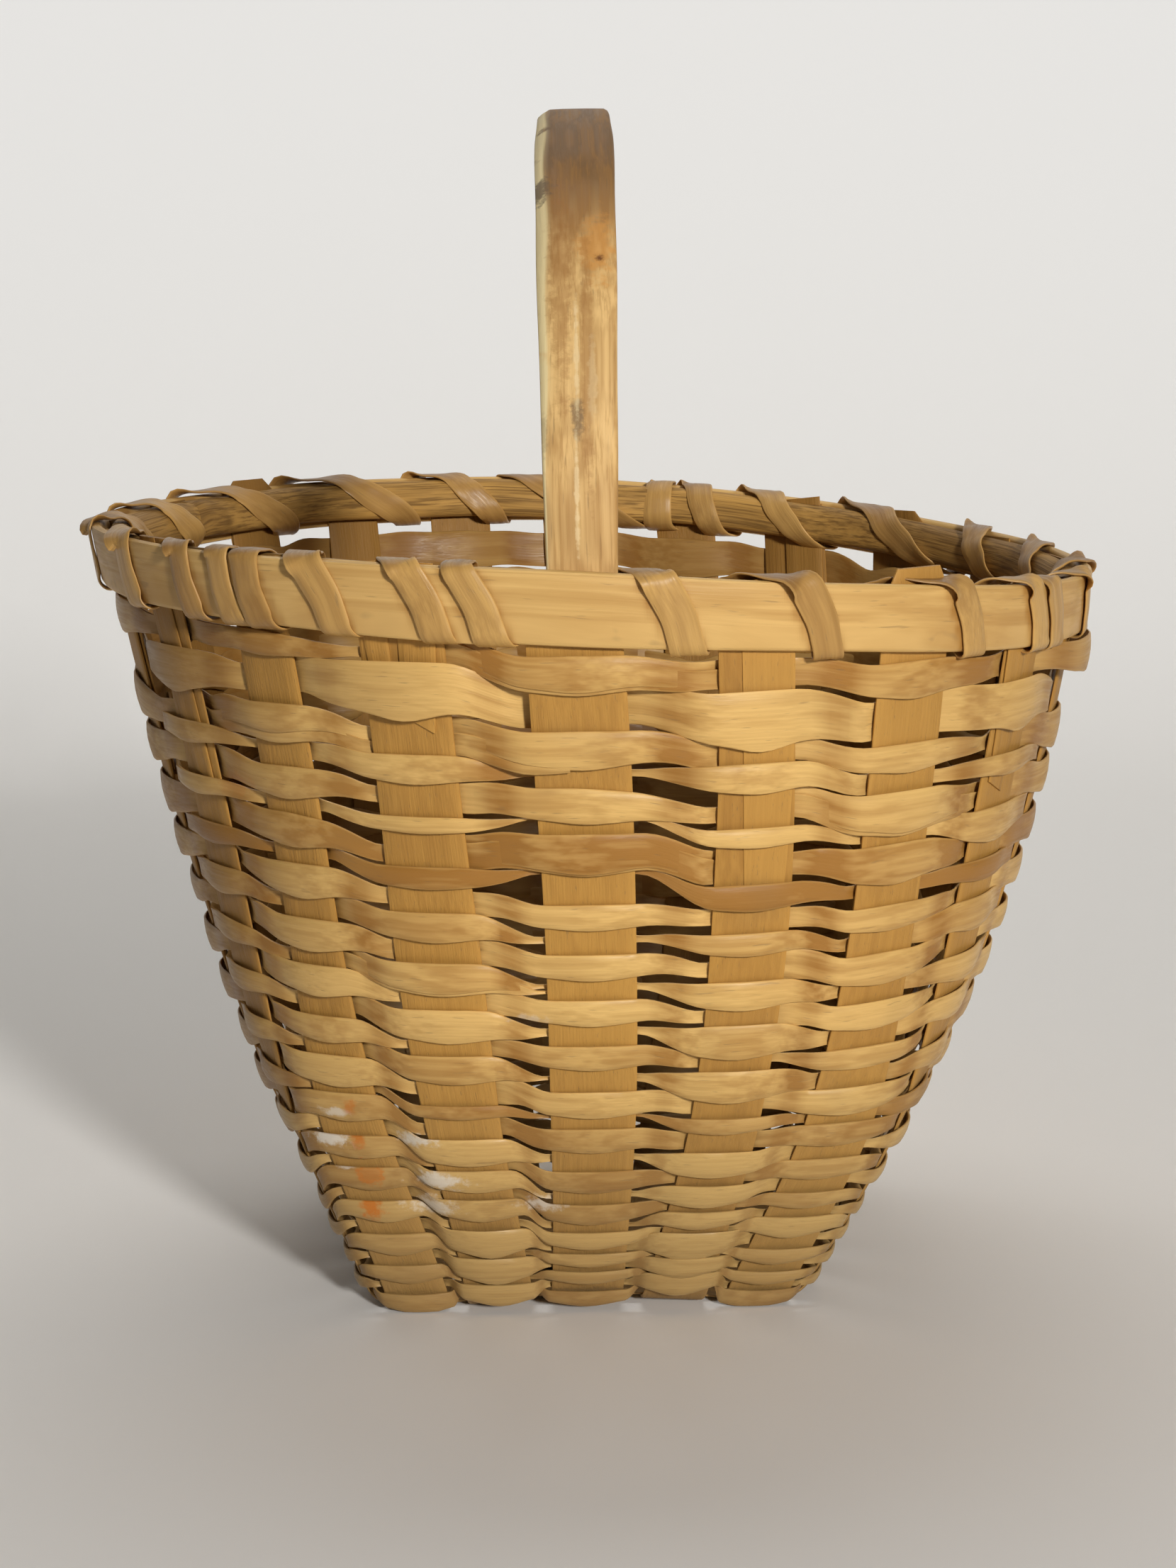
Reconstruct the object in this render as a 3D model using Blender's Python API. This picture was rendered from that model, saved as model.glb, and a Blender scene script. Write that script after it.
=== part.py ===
"""Woven ash-splint gathering basket with a fixed bow handle.

Ten flat splints are plaited into a square bottom and turn up as twenty uprights. Thirty separate
weavers run round them, two hoops and a spiral lashing bind the rim, and the handle's tails go
down between the hoops. Metres, +Z up, +Y to the back. The origin is straight under the
rim's centre, on the surface that the basket stands on.
"""

import math

import bmesh
import bpy
from mathutils import Vector

MM = 0.001
CREASE = math.radians(35.0)

# Fit between touching pieces
GAP = 0.3 * MM

# Body
BODY_HEIGHT = 215.0 * MM
RIM_RADIUS = 144.0 * MM
CORNER_ROOM = 5.0 * MM
FLARE = 0.65
FLARE_AT_BOTTOM = 0.55
FLARES_FULLY_FROM = 0.3
BASE_SQUARENESS = 4.0
RIM_LEAN = 5.4 * MM
WALL_SWAY = 2.9 * MM
RIM_DROP_RIGHT = 18.0 * MM
RIM_RISE_BACK = 3.5 * MM
RIM_WAVE = 2.8 * MM
BASE_ARCH = 2.0 * MM
ARCH_FADING = 6

# Base splints, which turn up as the uprights
UPRIGHTS_PER_SIDE = 5
SPLINT_WIDTH = 18.0 * MM
SPLINT_SPACING = 6.0 * MM
UPRIGHT_WIDTH = 20.0 * MM
SPLINT_THICKNESS = 1.1 * MM
BEND_RISE = 1.6 * MM
TIP_BELOW_RIM = 1.5 * MM
UPRIGHT_SECTIONS = 10

# Shares of the body height, and how much closer the lower sections of an upright are
FULL_WIDTH_FROM = 0.6
FACES_OUT_FROM = 0.5
CROWDED_LOW = 1.3

# How the uprights crowd together and spread apart round the rim
SPREAD = math.radians(5.75)
SPREAD_AT = math.radians(118.0)
PAIRING = math.radians(1.75)
PAIRING_AT = math.radians(236.0)
TURN = math.radians(1.1)

# Weavers
WEAVER_THICKNESS = 0.8 * MM
FIRST_ROW_ABOVE_BEND = 2.0 * MM
LOW_PITCH = 3.5 * MM
HIGH_PITCH = 6.8 * MM
LOW_ROWS = 4
EASING_ROWS = 4
TOP_ROW_WIDTH = 9.0 * MM
WIDE_ROW_WIDTH = 13.5 * MM
WIDE_ROW_PITCH = 9.4 * MM
WEAVER_BULGE = 0.6 * MM
WEAVER_OVERHANG = 1.5 * MM
FULL_WIDTH_PER_PITCH = 1.22
EDGE_WIDTH_PER_PITCH = 0.84

# Rim hoops
OUTER_HOOP_HEIGHT = 18.5 * MM
OUTER_HOOP_HEIGHT_BACK = 14.0 * MM
OUTER_HOOP_THICKNESS = 3.2 * MM
INNER_HOOP_HEIGHT = 12.0 * MM
INNER_HOOP_THICKNESS = 6.0 * MM
INNER_HOOP_BELOW = 0.8 * MM
INNER_HOOP_SHOULDER = 2.1 * MM
INNER_HOOP_SLOPE = 1.2 * MM
BULGE_OVERHANG = 6.0 * MM
BULGE_EASE = 22.0 * MM
HOOP_SECTIONS = 72
SCARF_AT = math.radians(-30.0)
SCARF_LENGTH = 52.0 * MM
SCARF_TIP = 0.8 * MM

# Rim lashing
LASHING_WIDTH = 9.0 * MM
LASHING_THICKNESS = 0.7 * MM
LASHING_SLANT = 5.0 * MM
LASHING_CROSSING = (0.25, 0.5, 0.75)
LASHING_RISES_AT = 0.95
SHARPEST_MITRE = 0.3

# Handle
HANDLE_RISE = 113.8 * MM
HANDLE_WIDTH = 20.5 * MM
HANDLE_THICKNESS = 4.6 * MM
HANDLE_ROUNDNESS = 2.3
HANDLE_CHAMFER = 1.0 * MM
GRIP_FROM = 84.0 * MM
TAIL_WIDTH = 17.6 * MM
TAIL_THICKNESS = 3.0 * MM
TAIL_LENGTH = 58.0 * MM
TAIL_TIP_WIDTH = 10.0 * MM
TAIL_TIP_THICKNESS = 1.6 * MM
TAIL_SIDESTEP = 3.2 * MM
BOW_SECTIONS = 28
TAIL_SECTIONS = 5

UPRIGHTS = 4 * UPRIGHTS_PER_SIDE
MIDDLE = UPRIGHTS_PER_SIDE // 2
FRONT_UPRIGHT = 0
BACK_UPRIGHT = UPRIGHTS // 2
SPLINT_PITCH = SPLINT_WIDTH + SPLINT_SPACING
OUTERMOST = (UPRIGHTS_PER_SIDE - 1) / 2 * SPLINT_PITCH
BASE_HALF = OUTERMOST + SPLINT_WIDTH / 2 + CORNER_ROOM
PLAIT_LIFT = (SPLINT_THICKNESS + GAP) / 2
BASE_LEVEL = PLAIT_LIFT + SPLINT_THICKNESS / 2
WALL_INSET = OUTER_HOOP_THICKNESS + 2 * SPLINT_THICKNESS
UPRIGHT_FLATNESS = UPRIGHT_WIDTH**2 / (8 * (RIM_RADIUS - WALL_INSET))
HOOP_FLATNESS = RIM_RADIUS * (1 - math.cos(math.pi / HOOP_SECTIONS))
OUTER_HOOP_OFFSET = SPLINT_THICKNESS / 2 + GAP + UPRIGHT_FLATNESS + HOOP_FLATNESS
INNER_HOOP_OFFSET = SPLINT_THICKNESS / 2 + GAP
WALL_TOP_RADIUS = RIM_RADIUS - OUTER_HOOP_THICKNESS - GAP - OUTER_HOOP_OFFSET
TAIL_OFFSET = SPLINT_THICKNESS / 2 + GAP + TAIL_THICKNESS / 2


def material(name, colour, roughness):
    """Plain Principled material for one kind of piece."""
    made = bpy.data.materials.new(name)
    made.use_nodes = True
    shader = made.node_tree.nodes["Principled BSDF"]
    shader.inputs["Base Color"].default_value = (*colour, 1.0)
    shader.inputs["Roughness"].default_value = roughness
    shader.inputs["Metallic"].default_value = 0.0
    made.diffuse_color = (*colour, 1.0)
    return made


def smooth(share):
    """Eases from 0 to 1."""
    share = min(1.0, max(0.0, share))
    return share * share * (3 - 2 * share)


def strip(name, sections, closed, finish):
    """One solid swept through its sections, which are loops of equally many corners."""
    mesh = bpy.data.meshes.new(name)
    work = bmesh.new()
    loops = [[work.verts.new(corner) for corner in section] for section in sections]
    following = loops[1:] + loops[:1] if closed else loops[1:]
    for here, there in zip(loops, following):
        for i in range(len(here)):
            j = (i + 1) % len(here)
            work.faces.new((here[i], here[j], there[j], there[i]))
    if not closed:
        work.faces.new(loops[0])
        work.faces.new(loops[-1])
    bmesh.ops.recalc_face_normals(work, faces=work.faces)
    work.to_mesh(mesh)
    work.free()
    mesh.shade_smooth()
    mesh.set_sharp_from_angle(angle=CREASE)
    piece = bpy.data.objects.new(name, mesh)
    piece.data.materials.append(finish)
    bpy.context.scene.collection.objects.link(piece)


# The wall


def wall_radius(height):
    """Half-size of the wall's middle surface at a share of the body height.

    The wall widens sooner than evenly, though less so just above the bottom.
    """
    eased = FLARE_AT_BOTTOM + (1 - FLARE_AT_BOTTOM) * smooth(height / FLARES_FULLY_FROM)
    widened = height * (1 + FLARE * eased * (1 - height))
    return BASE_HALF + (WALL_TOP_RADIUS - BASE_HALF) * widened


def squareness(height):
    """Superellipse exponent: square with round corners at the bottom, a circle at the rim."""
    return 2 + BASE_SQUARENESS * (1 - height) ** 3


def wall_point(azimuth, height):
    """Point of the wall's middle surface in plan, and its outward normal there."""
    power = squareness(height)
    east, south = math.sin(azimuth), math.cos(azimuth)
    reach = (abs(east) ** power + abs(south) ** power) ** (-1 / power)
    point = Vector((east, -south, 0)) * wall_radius(height) * reach
    normal = Vector((
        math.copysign(abs(east) ** (power - 1), east),
        -math.copysign(abs(south) ** (power - 1), south),
        0,
    )).normalized()
    return point + wall_middle(height), normal


def wall_middle(height):
    """The wall's leaning and bowed middle line, which meets the origin's axis at the rim."""
    sway = WALL_SWAY * 4 * height * (1 - height)
    return Vector((RIM_LEAN * (height - 1) + sway, 0, 0))


def wall_azimuth(point, height):
    """Azimuth of a point about the wall's middle line."""
    away = point - wall_middle(height)
    return math.atan2(away.x, -away.y)


def rim_height(azimuth):
    """Height of the rim's top edge, which drops to the right and waves a little."""
    tilt = -RIM_DROP_RIGHT * math.sin(azimuth) / 2 - RIM_RISE_BACK * math.cos(azimuth) / 2
    return BODY_HEIGHT + tilt + RIM_WAVE * math.cos(2 * azimuth)


# The uprights


def side_and_place(number):
    """Side of the square that an upright stands on, and its distance along that side."""
    shifted = (number + MIDDLE) % UPRIGHTS
    side, place = divmod(shifted, UPRIGHTS_PER_SIDE)
    return side, place * SPLINT_PITCH - OUTERMOST


def rim_azimuth(number):
    """Azimuth of an upright at the rim, from the front centre towards the right."""
    even = 2 * math.pi * number / UPRIGHTS
    crowd = SPREAD * math.cos(even - SPREAD_AT) + PAIRING * math.cos(2 * even - PAIRING_AT)
    return even + TURN + crowd


def base_azimuth(number):
    side, along = side_and_place(number)
    return side * math.pi / 2 + math.atan2(along, BASE_HALF)


def base_arch(x, y):
    """Height that the bottom's middle is pushed up by. The four corners stay flat, as feet."""
    foot = OUTERMOST - (SPLINT_PITCH + GAP) / 2
    return BASE_ARCH * (max(0.0, 1 - abs(x) / foot) + max(0.0, 1 - abs(y) / foot))


def wall_level(azimuth, height):
    """Height above the ground of the wall at an azimuth and a share of the body height."""
    off_side = (azimuth + math.pi / 4) % (math.pi / 2) - math.pi / 4
    arch = base_arch(BASE_HALF * math.tan(off_side), BASE_HALF)
    return height * rim_height(azimuth) + arch * (1 - height) ** ARCH_FADING


def upright_station(number, height):
    """Centre and outward normal of an upright at one of the heights where it is bent."""
    start = base_azimuth(number)
    turn = (rim_azimuth(number) - start + math.pi) % (2 * math.pi) - math.pi
    azimuth = start + turn * height
    centre, normal = wall_point(azimuth, height)
    side, along = side_and_place(number)
    square = Vector((math.sin(side * math.pi / 2), -math.cos(side * math.pi / 2), 0))
    normal = square.lerp(normal, smooth(height / FACES_OUT_FROM)).normalized()
    centre.z = wall_level(azimuth, height)
    return centre, normal


def station_heights():
    """Shares of the height at which an upright is bent, closer together near the bottom."""
    start = (BASE_LEVEL + BEND_RISE) / BODY_HEIGHT
    steps = [i / (UPRIGHT_SECTIONS - 1) for i in range(UPRIGHT_SECTIONS)]
    return [start + (1 - start) * step ** CROWDED_LOW for step in steps]


def upright_frame(number, height):
    """Centre, width direction, outward normal and rise of an upright, straight between bends.

    The rise is the upright's own direction, for one unit of height.
    """
    heights = station_heights()
    step = max(1, min(len(heights) - 1, sum(1 for level in heights if level < height)))
    low, high = heights[step - 1], heights[step]
    one, one_out = upright_station(number, low)
    two, two_out = upright_station(number, high)
    share = (height - low) / (high - low)
    normal = one_out.lerp(two_out, share).normalized()
    tangent = Vector((-normal.y, normal.x, 0))
    rise = (two - one) / (two.z - one.z)
    return one.lerp(two, share), tangent, normal, rise


def upright_width(height):
    return SPLINT_WIDTH + (UPRIGHT_WIDTH - SPLINT_WIDTH) * smooth(height / FULL_WIDTH_FROM)


def flat_section(centre, across, through, width, thickness):
    """Rectangle of a flat strip: across is its width direction, through its thickness."""
    a = across * width / 2
    b = through * thickness / 2
    return [centre - a - b, centre + a - b, centre + a + b, centre - a + b]


def upright_sections(number):
    """Sections from the bottom's edge up to the tip between the hoops."""
    sections = []
    tip = 1 - TIP_BELOW_RIM / BODY_HEIGHT
    for height in station_heights()[:-1] + [tip]:
        centre, tangent, normal, _ = upright_frame(number, height)
        sections.append(
            flat_section(centre, tangent, normal, upright_width(height), SPLINT_THICKNESS)
        )
    return sections


def splint_sections(first, last, across, lifts):
    """Sections of one splint: down the first upright, over the bottom and up the last.

    The sections on the bottom come in pairs, one pair for each splint that is crossed.
    across is the width direction, and lifts says of each crossing whether this splint is
    over (1) or under (-1) the other.
    """
    side, along = side_and_place(last)
    run = Vector((math.sin(side * math.pi / 2), -math.cos(side * math.pi / 2), 0))
    offset = across * along
    flat = (SPLINT_WIDTH + GAP) / 2
    stops = []
    for i, lift in enumerate(lifts):
        middle = i * SPLINT_PITCH - OUTERMOST
        stops.append((middle - flat, lift))
        stops.append((middle + flat, lift))
    bottom = []
    for distance, lift in stops:
        section = []
        for sideways, through in ((-1, -1), (1, -1), (1, 1), (-1, 1)):
            corner = run * distance + offset + across * sideways * SPLINT_WIDTH / 2
            level = BASE_LEVEL + base_arch(corner.x, corner.y) + lift * PLAIT_LIFT
            corner.z = level + through * SPLINT_THICKNESS / 2
            section.append(corner + wall_middle(0))
        bottom.append(section)
    # The splint's upper face turns to the inside of both walls.
    down_first = [[c, d, a, b] for a, b, c, d in upright_sections(first)[::-1]]
    up_last = [[d, c, b, a] for a, b, c, d in upright_sections(last)]
    return down_first + bottom + up_last


def make_splints(finish):
    """Splints that cross over and under each other by turns."""
    for row, place in enumerate(range(-MIDDLE, UPRIGHTS_PER_SIDE - MIDDLE)):
        front = place % UPRIGHTS
        back = (BACK_UPRIGHT - place) % UPRIGHTS
        right = (UPRIGHTS_PER_SIDE + place) % UPRIGHTS
        left = (UPRIGHTS - UPRIGHTS_PER_SIDE - place) % UPRIGHTS
        over = [1 if (row + i) % 2 == 0 else -1 for i in range(UPRIGHTS_PER_SIDE)]
        under = [-lift for lift in over]
        strip(
            f"base_splint_front_back_{row + 1}",
            splint_sections(front, back, Vector((-1, 0, 0)), over),
            False,
            finish,
        )
        strip(
            f"base_splint_side_side_{row + 1}",
            splint_sections(left, right, Vector((0, 1, 0)), under),
            False,
            finish,
        )


# The weavers


def rows_of_weavers():
    """Level and full width of each row, closer together and narrower near the bottom."""
    rim = max(OUTER_HOOP_HEIGHT, OUTER_HOOP_HEIGHT_BACK, INNER_HOOP_BELOW + INNER_HOOP_HEIGHT)
    top = BODY_HEIGHT - rim - LASHING_THICKNESS - 2 * GAP - TOP_ROW_WIDTH / 2
    level = BASE_LEVEL + BEND_RISE + FIRST_ROW_ABOVE_BEND + LOW_PITCH / 2
    rows = []
    while level + 2 * WIDE_ROW_PITCH <= top or len(rows) % 2:
        rows.append((level, FULL_WIDTH_PER_PITCH * row_pitch(len(rows))))
        level += row_pitch(len(rows))
    last = rows[-1][0]
    rows.append(((last + top) / 2, WIDE_ROW_WIDTH))
    rows.append((top, TOP_ROW_WIDTH))
    return rows


def row_pitch(row):
    return LOW_PITCH + (HIGH_PITCH - LOW_PITCH) * smooth((row - LOW_ROWS) / EASING_ROWS)


def tail_at(drop):
    """Width and thickness of the handle's tail at a depth below the rim."""
    share = min(1.0, max(0.0, drop / TAIL_LENGTH))
    width = TAIL_WIDTH + (TAIL_TIP_WIDTH - TAIL_WIDTH) * share
    thickness = TAIL_THICKNESS + (TAIL_TIP_THICKNESS - TAIL_THICKNESS) * share
    return width, thickness


def passing_offsets(number, height, half_row):
    """Offsets at which a weaver passes outside and inside an upright that twists behind it."""
    centre, _, normal, rise = upright_frame(number, height)
    out, back = 0.0, 0.0
    for share in (height - half_row / BODY_HEIGHT, height + half_row / BODY_HEIGHT):
        there, tangent, _, _ = upright_frame(number, share)
        straight = centre + rise * (there.z - centre.z)
        for side in (-1, 1):
            corner = there + tangent * side * upright_width(share) / 2
            away = (corner - straight).dot(normal)
            out, back = max(out, away), min(back, away)
    clear = (SPLINT_THICKNESS + WEAVER_THICKNESS) / 2 + GAP
    drop = (1 - height) * BODY_HEIGHT - half_row
    if number in (FRONT_UPRIGHT, BACK_UPRIGHT) and drop < TAIL_LENGTH + GAP:
        return out + clear, back - clear - tail_at(drop)[1] - GAP
    return out + clear, back - clear


def weaver_section(middle, height, normal, rise, width):
    """Flat strip standing along the upright's own slope, at its row's level."""
    middle.z = wall_level(wall_azimuth(middle, height), height)
    up = rise * width / 2
    out = normal * WEAVER_THICKNESS / 2
    return [middle - out - up, middle + out - up, middle + out + up, middle - out + up]


def weaver_row(row, rows, finish):
    """One ring: three sections over each passed upright and one behind each of the others."""
    level, full = rows[row]
    below = level - rows[row - 1][0] if row else LOW_PITCH
    above = rows[row + 1][0] - level if row + 1 < len(rows) else HIGH_PITCH
    edge = EDGE_WIDTH_PER_PITCH * min(below, above)
    height = level / BODY_HEIGHT
    frames = [upright_frame(number, height) for number in range(UPRIGHTS)]
    offsets = [passing_offsets(number, height, full / 2) for number in range(UPRIGHTS)]
    half = upright_width(height) / 2
    edges = {}
    for number, (centre, tangent, normal, rise) in enumerate(frames):
        for sign in (-1, 1):
            sideways = tangent * sign * (half + WEAVER_OVERHANG)
            edges[number, sign] = centre + sideways + normal * offsets[number][0]
    sections = []
    for number, (centre, tangent, normal, rise) in enumerate(frames):
        outside, inside = offsets[number]
        # The rows spread where the rim is higher.
        scale = rim_height(rim_azimuth(number)) / BODY_HEIGHT
        if (number + row) % 2:
            crown = centre + normal * (outside + WEAVER_BULGE)
            for middle, width in (
                (edges[number, -1], edge),
                (crown, full),
                (edges[number, 1], edge),
            ):
                sections.append(weaver_section(middle, height, normal, rise, width * scale))
            continue
        # The strip runs straight from here to the neighbours' edges, clear of this upright.
        offset = inside
        for neighbour, sign in (((number - 1) % UPRIGHTS, 1), ((number + 1) % UPRIGHTS, -1)):
            away = edges[neighbour, sign] - centre
            share = (half + GAP) / abs(away.dot(tangent))
            offset = min(offset, (inside - away.dot(normal) * share) / (1 - share))
        middle = centre + normal * offset
        sections.append(weaver_section(middle, height, normal, rise, edge * scale))
    strip(f"weaver_row_{row + 1:02d}", sections, True, finish)


# The rim


def rim_point(azimuth, offset, drop):
    """Point at an offset from the wall's middle and a depth below the rim's top edge."""
    height = 1 - drop / rim_height(azimuth)
    outward = Vector((math.sin(azimuth), -math.cos(azimuth), 0))
    point = outward * (wall_radius(height) + offset) + wall_middle(height)
    point.z = rim_height(azimuth) - drop
    return point


def bulge_at_section(section):
    """How far the inner hoop stands further in, at one of its sections, to pass a handle tail."""
    azimuth = rim_azimuth(FRONT_UPRIGHT) + section * 2 * math.pi / HOOP_SECTIONS
    full = (TAIL_WIDTH / 2 + BULGE_OVERHANG) / RIM_RADIUS
    bulge = 0.0
    for number in (FRONT_UPRIGHT, BACK_UPRIGHT):
        away = abs((azimuth - rim_azimuth(number) + math.pi) % (2 * math.pi) - math.pi)
        bulge = max(bulge, 1 - smooth((away - full) / (BULGE_EASE / RIM_RADIUS)))
    return bulge * (TAIL_THICKNESS + GAP)


def tail_bulge(azimuth):
    """The bulge between two sections, where the hoop runs straight."""
    turned = (azimuth - rim_azimuth(FRONT_UPRIGHT)) * HOOP_SECTIONS / (2 * math.pi)
    section = math.floor(turned)
    share = turned - section
    return bulge_at_section(section) * (1 - share) + bulge_at_section(section + 1) * share


def outer_hoop_height(azimuth):
    """The hoop is shaved narrower towards the back."""
    back = (1 - math.cos(azimuth)) / 2
    return OUTER_HOOP_HEIGHT + (OUTER_HOOP_HEIGHT_BACK - OUTER_HOOP_HEIGHT) * back


def outer_hoop(finish):
    """Flat strip whose two tapered ends lap over each other."""
    lap = SCARF_LENGTH / RIM_RADIUS
    steps = HOOP_SECTIONS + max(2, round(HOOP_SECTIONS * lap / (2 * math.pi)))
    total = 2 * math.pi + lap
    inner_face = OUTER_HOOP_OFFSET
    outer_face = inner_face + OUTER_HOOP_THICKNESS
    sections = []
    for i in range(steps + 1):
        travelled = total * i / steps
        azimuth = SCARF_AT + travelled
        inside, outside = inner_face, outer_face
        if travelled < lap:
            outside = inner_face + SCARF_TIP
            outside += (OUTER_HOOP_THICKNESS - SCARF_TIP) * travelled / lap
        if travelled > 2 * math.pi - lap:
            ease = smooth((travelled - (2 * math.pi - lap)) / lap)
            inside += (SCARF_TIP + GAP) * ease
            outside += (SCARF_TIP + GAP) * ease
        if travelled > 2 * math.pi:
            share = (travelled - 2 * math.pi) / lap
            inside = inner_face + SCARF_TIP + GAP
            inside += (OUTER_HOOP_THICKNESS - SCARF_TIP) * share
            outside = inner_face + OUTER_HOOP_THICKNESS + SCARF_TIP + GAP
        low = outer_hoop_height(azimuth)
        sections.append([
            rim_point(azimuth, inside, low),
            rim_point(azimuth, outside, low),
            rim_point(azimuth, outside, 0),
            rim_point(azimuth, inside, 0),
        ])
    strip("rim_outer_hoop", sections, False, finish)


def inner_hoop_outline(azimuth):
    """Half-round: flat towards the wall and round towards the inside. Pairs of offset, drop."""
    flat = -INNER_HOOP_OFFSET - tail_bulge(azimuth)
    shoulder = flat - INNER_HOOP_THICKNESS + INNER_HOOP_SHOULDER
    top = INNER_HOOP_BELOW
    low = INNER_HOOP_BELOW + INNER_HOOP_HEIGHT
    return [
        (flat, low),
        (flat, top),
        (shoulder, top + INNER_HOOP_SLOPE),
        (flat - INNER_HOOP_THICKNESS, (top + low) / 2),
        (shoulder, low - INNER_HOOP_SLOPE),
    ]


def inner_hoop(finish):
    sections = []
    start = rim_azimuth(FRONT_UPRIGHT)
    for i in range(HOOP_SECTIONS):
        azimuth = start + 2 * math.pi * i / HOOP_SECTIONS
        sections.append([rim_point(azimuth, *pair) for pair in inner_hoop_outline(azimuth)])
    strip("rim_inner_hoop", sections, True, finish)


def grown(outline, distance):
    """Convex outline of (offset, drop) pairs pushed outwards by a distance, mitred."""
    count = len(outline)
    made = []
    for i in range(count):
        before, here, after = outline[i - 1], outline[i], outline[(i + 1) % count]
        one = Vector((here[0] - before[0], here[1] - before[1])).normalized()
        two = Vector((after[0] - here[0], after[1] - here[1])).normalized()
        bisector = Vector((one.y + two.y, -one.x - two.x)).normalized()
        reach = distance / max(SHARPEST_MITRE, bisector.dot(Vector((one.y, -one.x))))
        made.append((here[0] + bisector.x * reach, here[1] + bisector.y * reach))
    return made


def rim_outline(azimuth):
    """Outline round both hoops: down the outer hoop, up round the inner one, over the top."""
    outer = OUTER_HOOP_OFFSET + OUTER_HOOP_THICKNESS + SCARF_TIP + GAP
    under = outer_hoop_height(azimuth)
    _, flat_top, high, middle, low = inner_hoop_outline(azimuth)
    return [
        (outer, 0.0),
        (outer, under),
        (OUTER_HOOP_OFFSET, under),
        low,
        middle,
        high,
        (flat_top[0], 0.0),
    ]


def lashing(finish):
    """Thin splint that spirals round both hoops, one turn in each gap between uprights.

    Each station is an azimuth and the corner of the rim's outline that it stands at: down
    the outside, under the hoops, up the inside and over the top to the next gap.
    """
    slant = LASHING_SLANT / RIM_RADIUS
    stations = []
    turns = UPRIGHTS - 1
    start = BACK_UPRIGHT
    for turn in range(turns):
        gaps = []
        for step in (turn, turn + 1):
            one = rim_azimuth(start + step)
            two = rim_azimuth(start + step + 1)
            gaps.append((one + two) / 2)
        here, there = gaps
        travel = there - slant - here
        stations += [(here - slant, 0), (here, 1), (here, 2), (here, 3)]
        stations += [(here + travel * share, 4) for share in LASHING_CROSSING]
        stations += [(here + travel * LASHING_RISES_AT, 5), (there - slant, 6)]
    sections = []
    for azimuth, corner in stations:
        section = []
        for side, distances in ((-1, (0, 1)), (1, (1, 0))):
            edge = azimuth + side * LASHING_WIDTH / 2 / RIM_RADIUS
            outline = rim_outline(edge)
            for distance in distances:
                loop = grown(outline, GAP + distance * LASHING_THICKNESS)
                section.append(rim_point(edge, *loop[corner]))
        sections.append(section)
    strip("rim_lashing", sections, False, finish)


# The handle


def bar_section(centre, across, through, width, thickness):
    """Flat bar with chamfered corners, thin enough for its own thickness."""
    cut = min(HANDLE_CHAMFER, thickness / 3)
    a, b = width / 2, thickness / 2
    corners = [
        (a, b - cut), (a - cut, b), (cut - a, b), (-a, b - cut),
        (-a, cut - b), (cut - a, -b), (a - cut, -b), (a, cut - b),
    ]
    return [centre + across * x + through * y for x, y in corners]


def tail_sections(number):
    """Sections of the tail from its tip up to the rim, along the inside of an upright.

    The tip stands behind the upright's middle, and the tail leans to the right from there.
    """
    sections = []
    for i in range(TAIL_SECTIONS):
        drop = TAIL_LENGTH * (1 - i / (TAIL_SECTIONS - 1))
        centre, tangent, normal, _ = upright_frame(number, 1 - drop / BODY_HEIGHT)
        width, thickness = tail_at(drop)
        centre -= normal * (SPLINT_THICKNESS / 2 + GAP + thickness / 2)
        centre.x += TAIL_SIDESTEP * (1 - drop / TAIL_LENGTH)
        sections.append(bar_section(centre, tangent, normal, width, thickness))
    return sections


def handle(finish):
    """Superellipse bow between the two tails."""
    front, _, outward, _ = upright_frame(FRONT_UPRIGHT, 1.0)
    back, _, away, _ = upright_frame(BACK_UPRIGHT, 1.0)
    sidestep = Vector((TAIL_SIDESTEP, 0, 0))
    foot = front - outward * TAIL_OFFSET + sidestep
    far_foot = back - away * TAIL_OFFSET + sidestep
    span = far_foot - foot
    along = Vector((span.x, span.y, 0)).normalized()
    across = Vector((along.y, -along.x, 0))
    bow = []
    for i in range(1, BOW_SECTIONS):
        angle = math.pi * i / BOW_SECTIONS
        power = 2 / HANDLE_ROUNDNESS
        run = math.copysign(abs(math.cos(angle)) ** power, math.cos(angle))
        rise = abs(math.sin(angle)) ** power
        point = foot + span * (1 - run) / 2
        point.z += HANDLE_RISE * rise
        bow.append((point, smooth(HANDLE_RISE * rise / GRIP_FROM)))
    sections = tail_sections(FRONT_UPRIGHT)
    points = [foot] + [point for point, _ in bow] + [far_foot]
    for i, (point, grip) in enumerate(bow, start=1):
        heading = (points[i + 1] - points[i - 1]).normalized()
        through = across.cross(heading).normalized()
        width = TAIL_WIDTH + (HANDLE_WIDTH - TAIL_WIDTH) * grip
        thickness = TAIL_THICKNESS + (HANDLE_THICKNESS - TAIL_THICKNESS) * grip
        sections.append(bar_section(point, across, through, width, thickness))
    for section in tail_sections(BACK_UPRIGHT)[::-1]:
        # The back tail faces the other way round, so its corners run backwards from the fourth.
        sections.append([section[(3 - i) % len(section)] for i in range(len(section))])
    strip("bow_handle", sections, False, finish)


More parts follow.
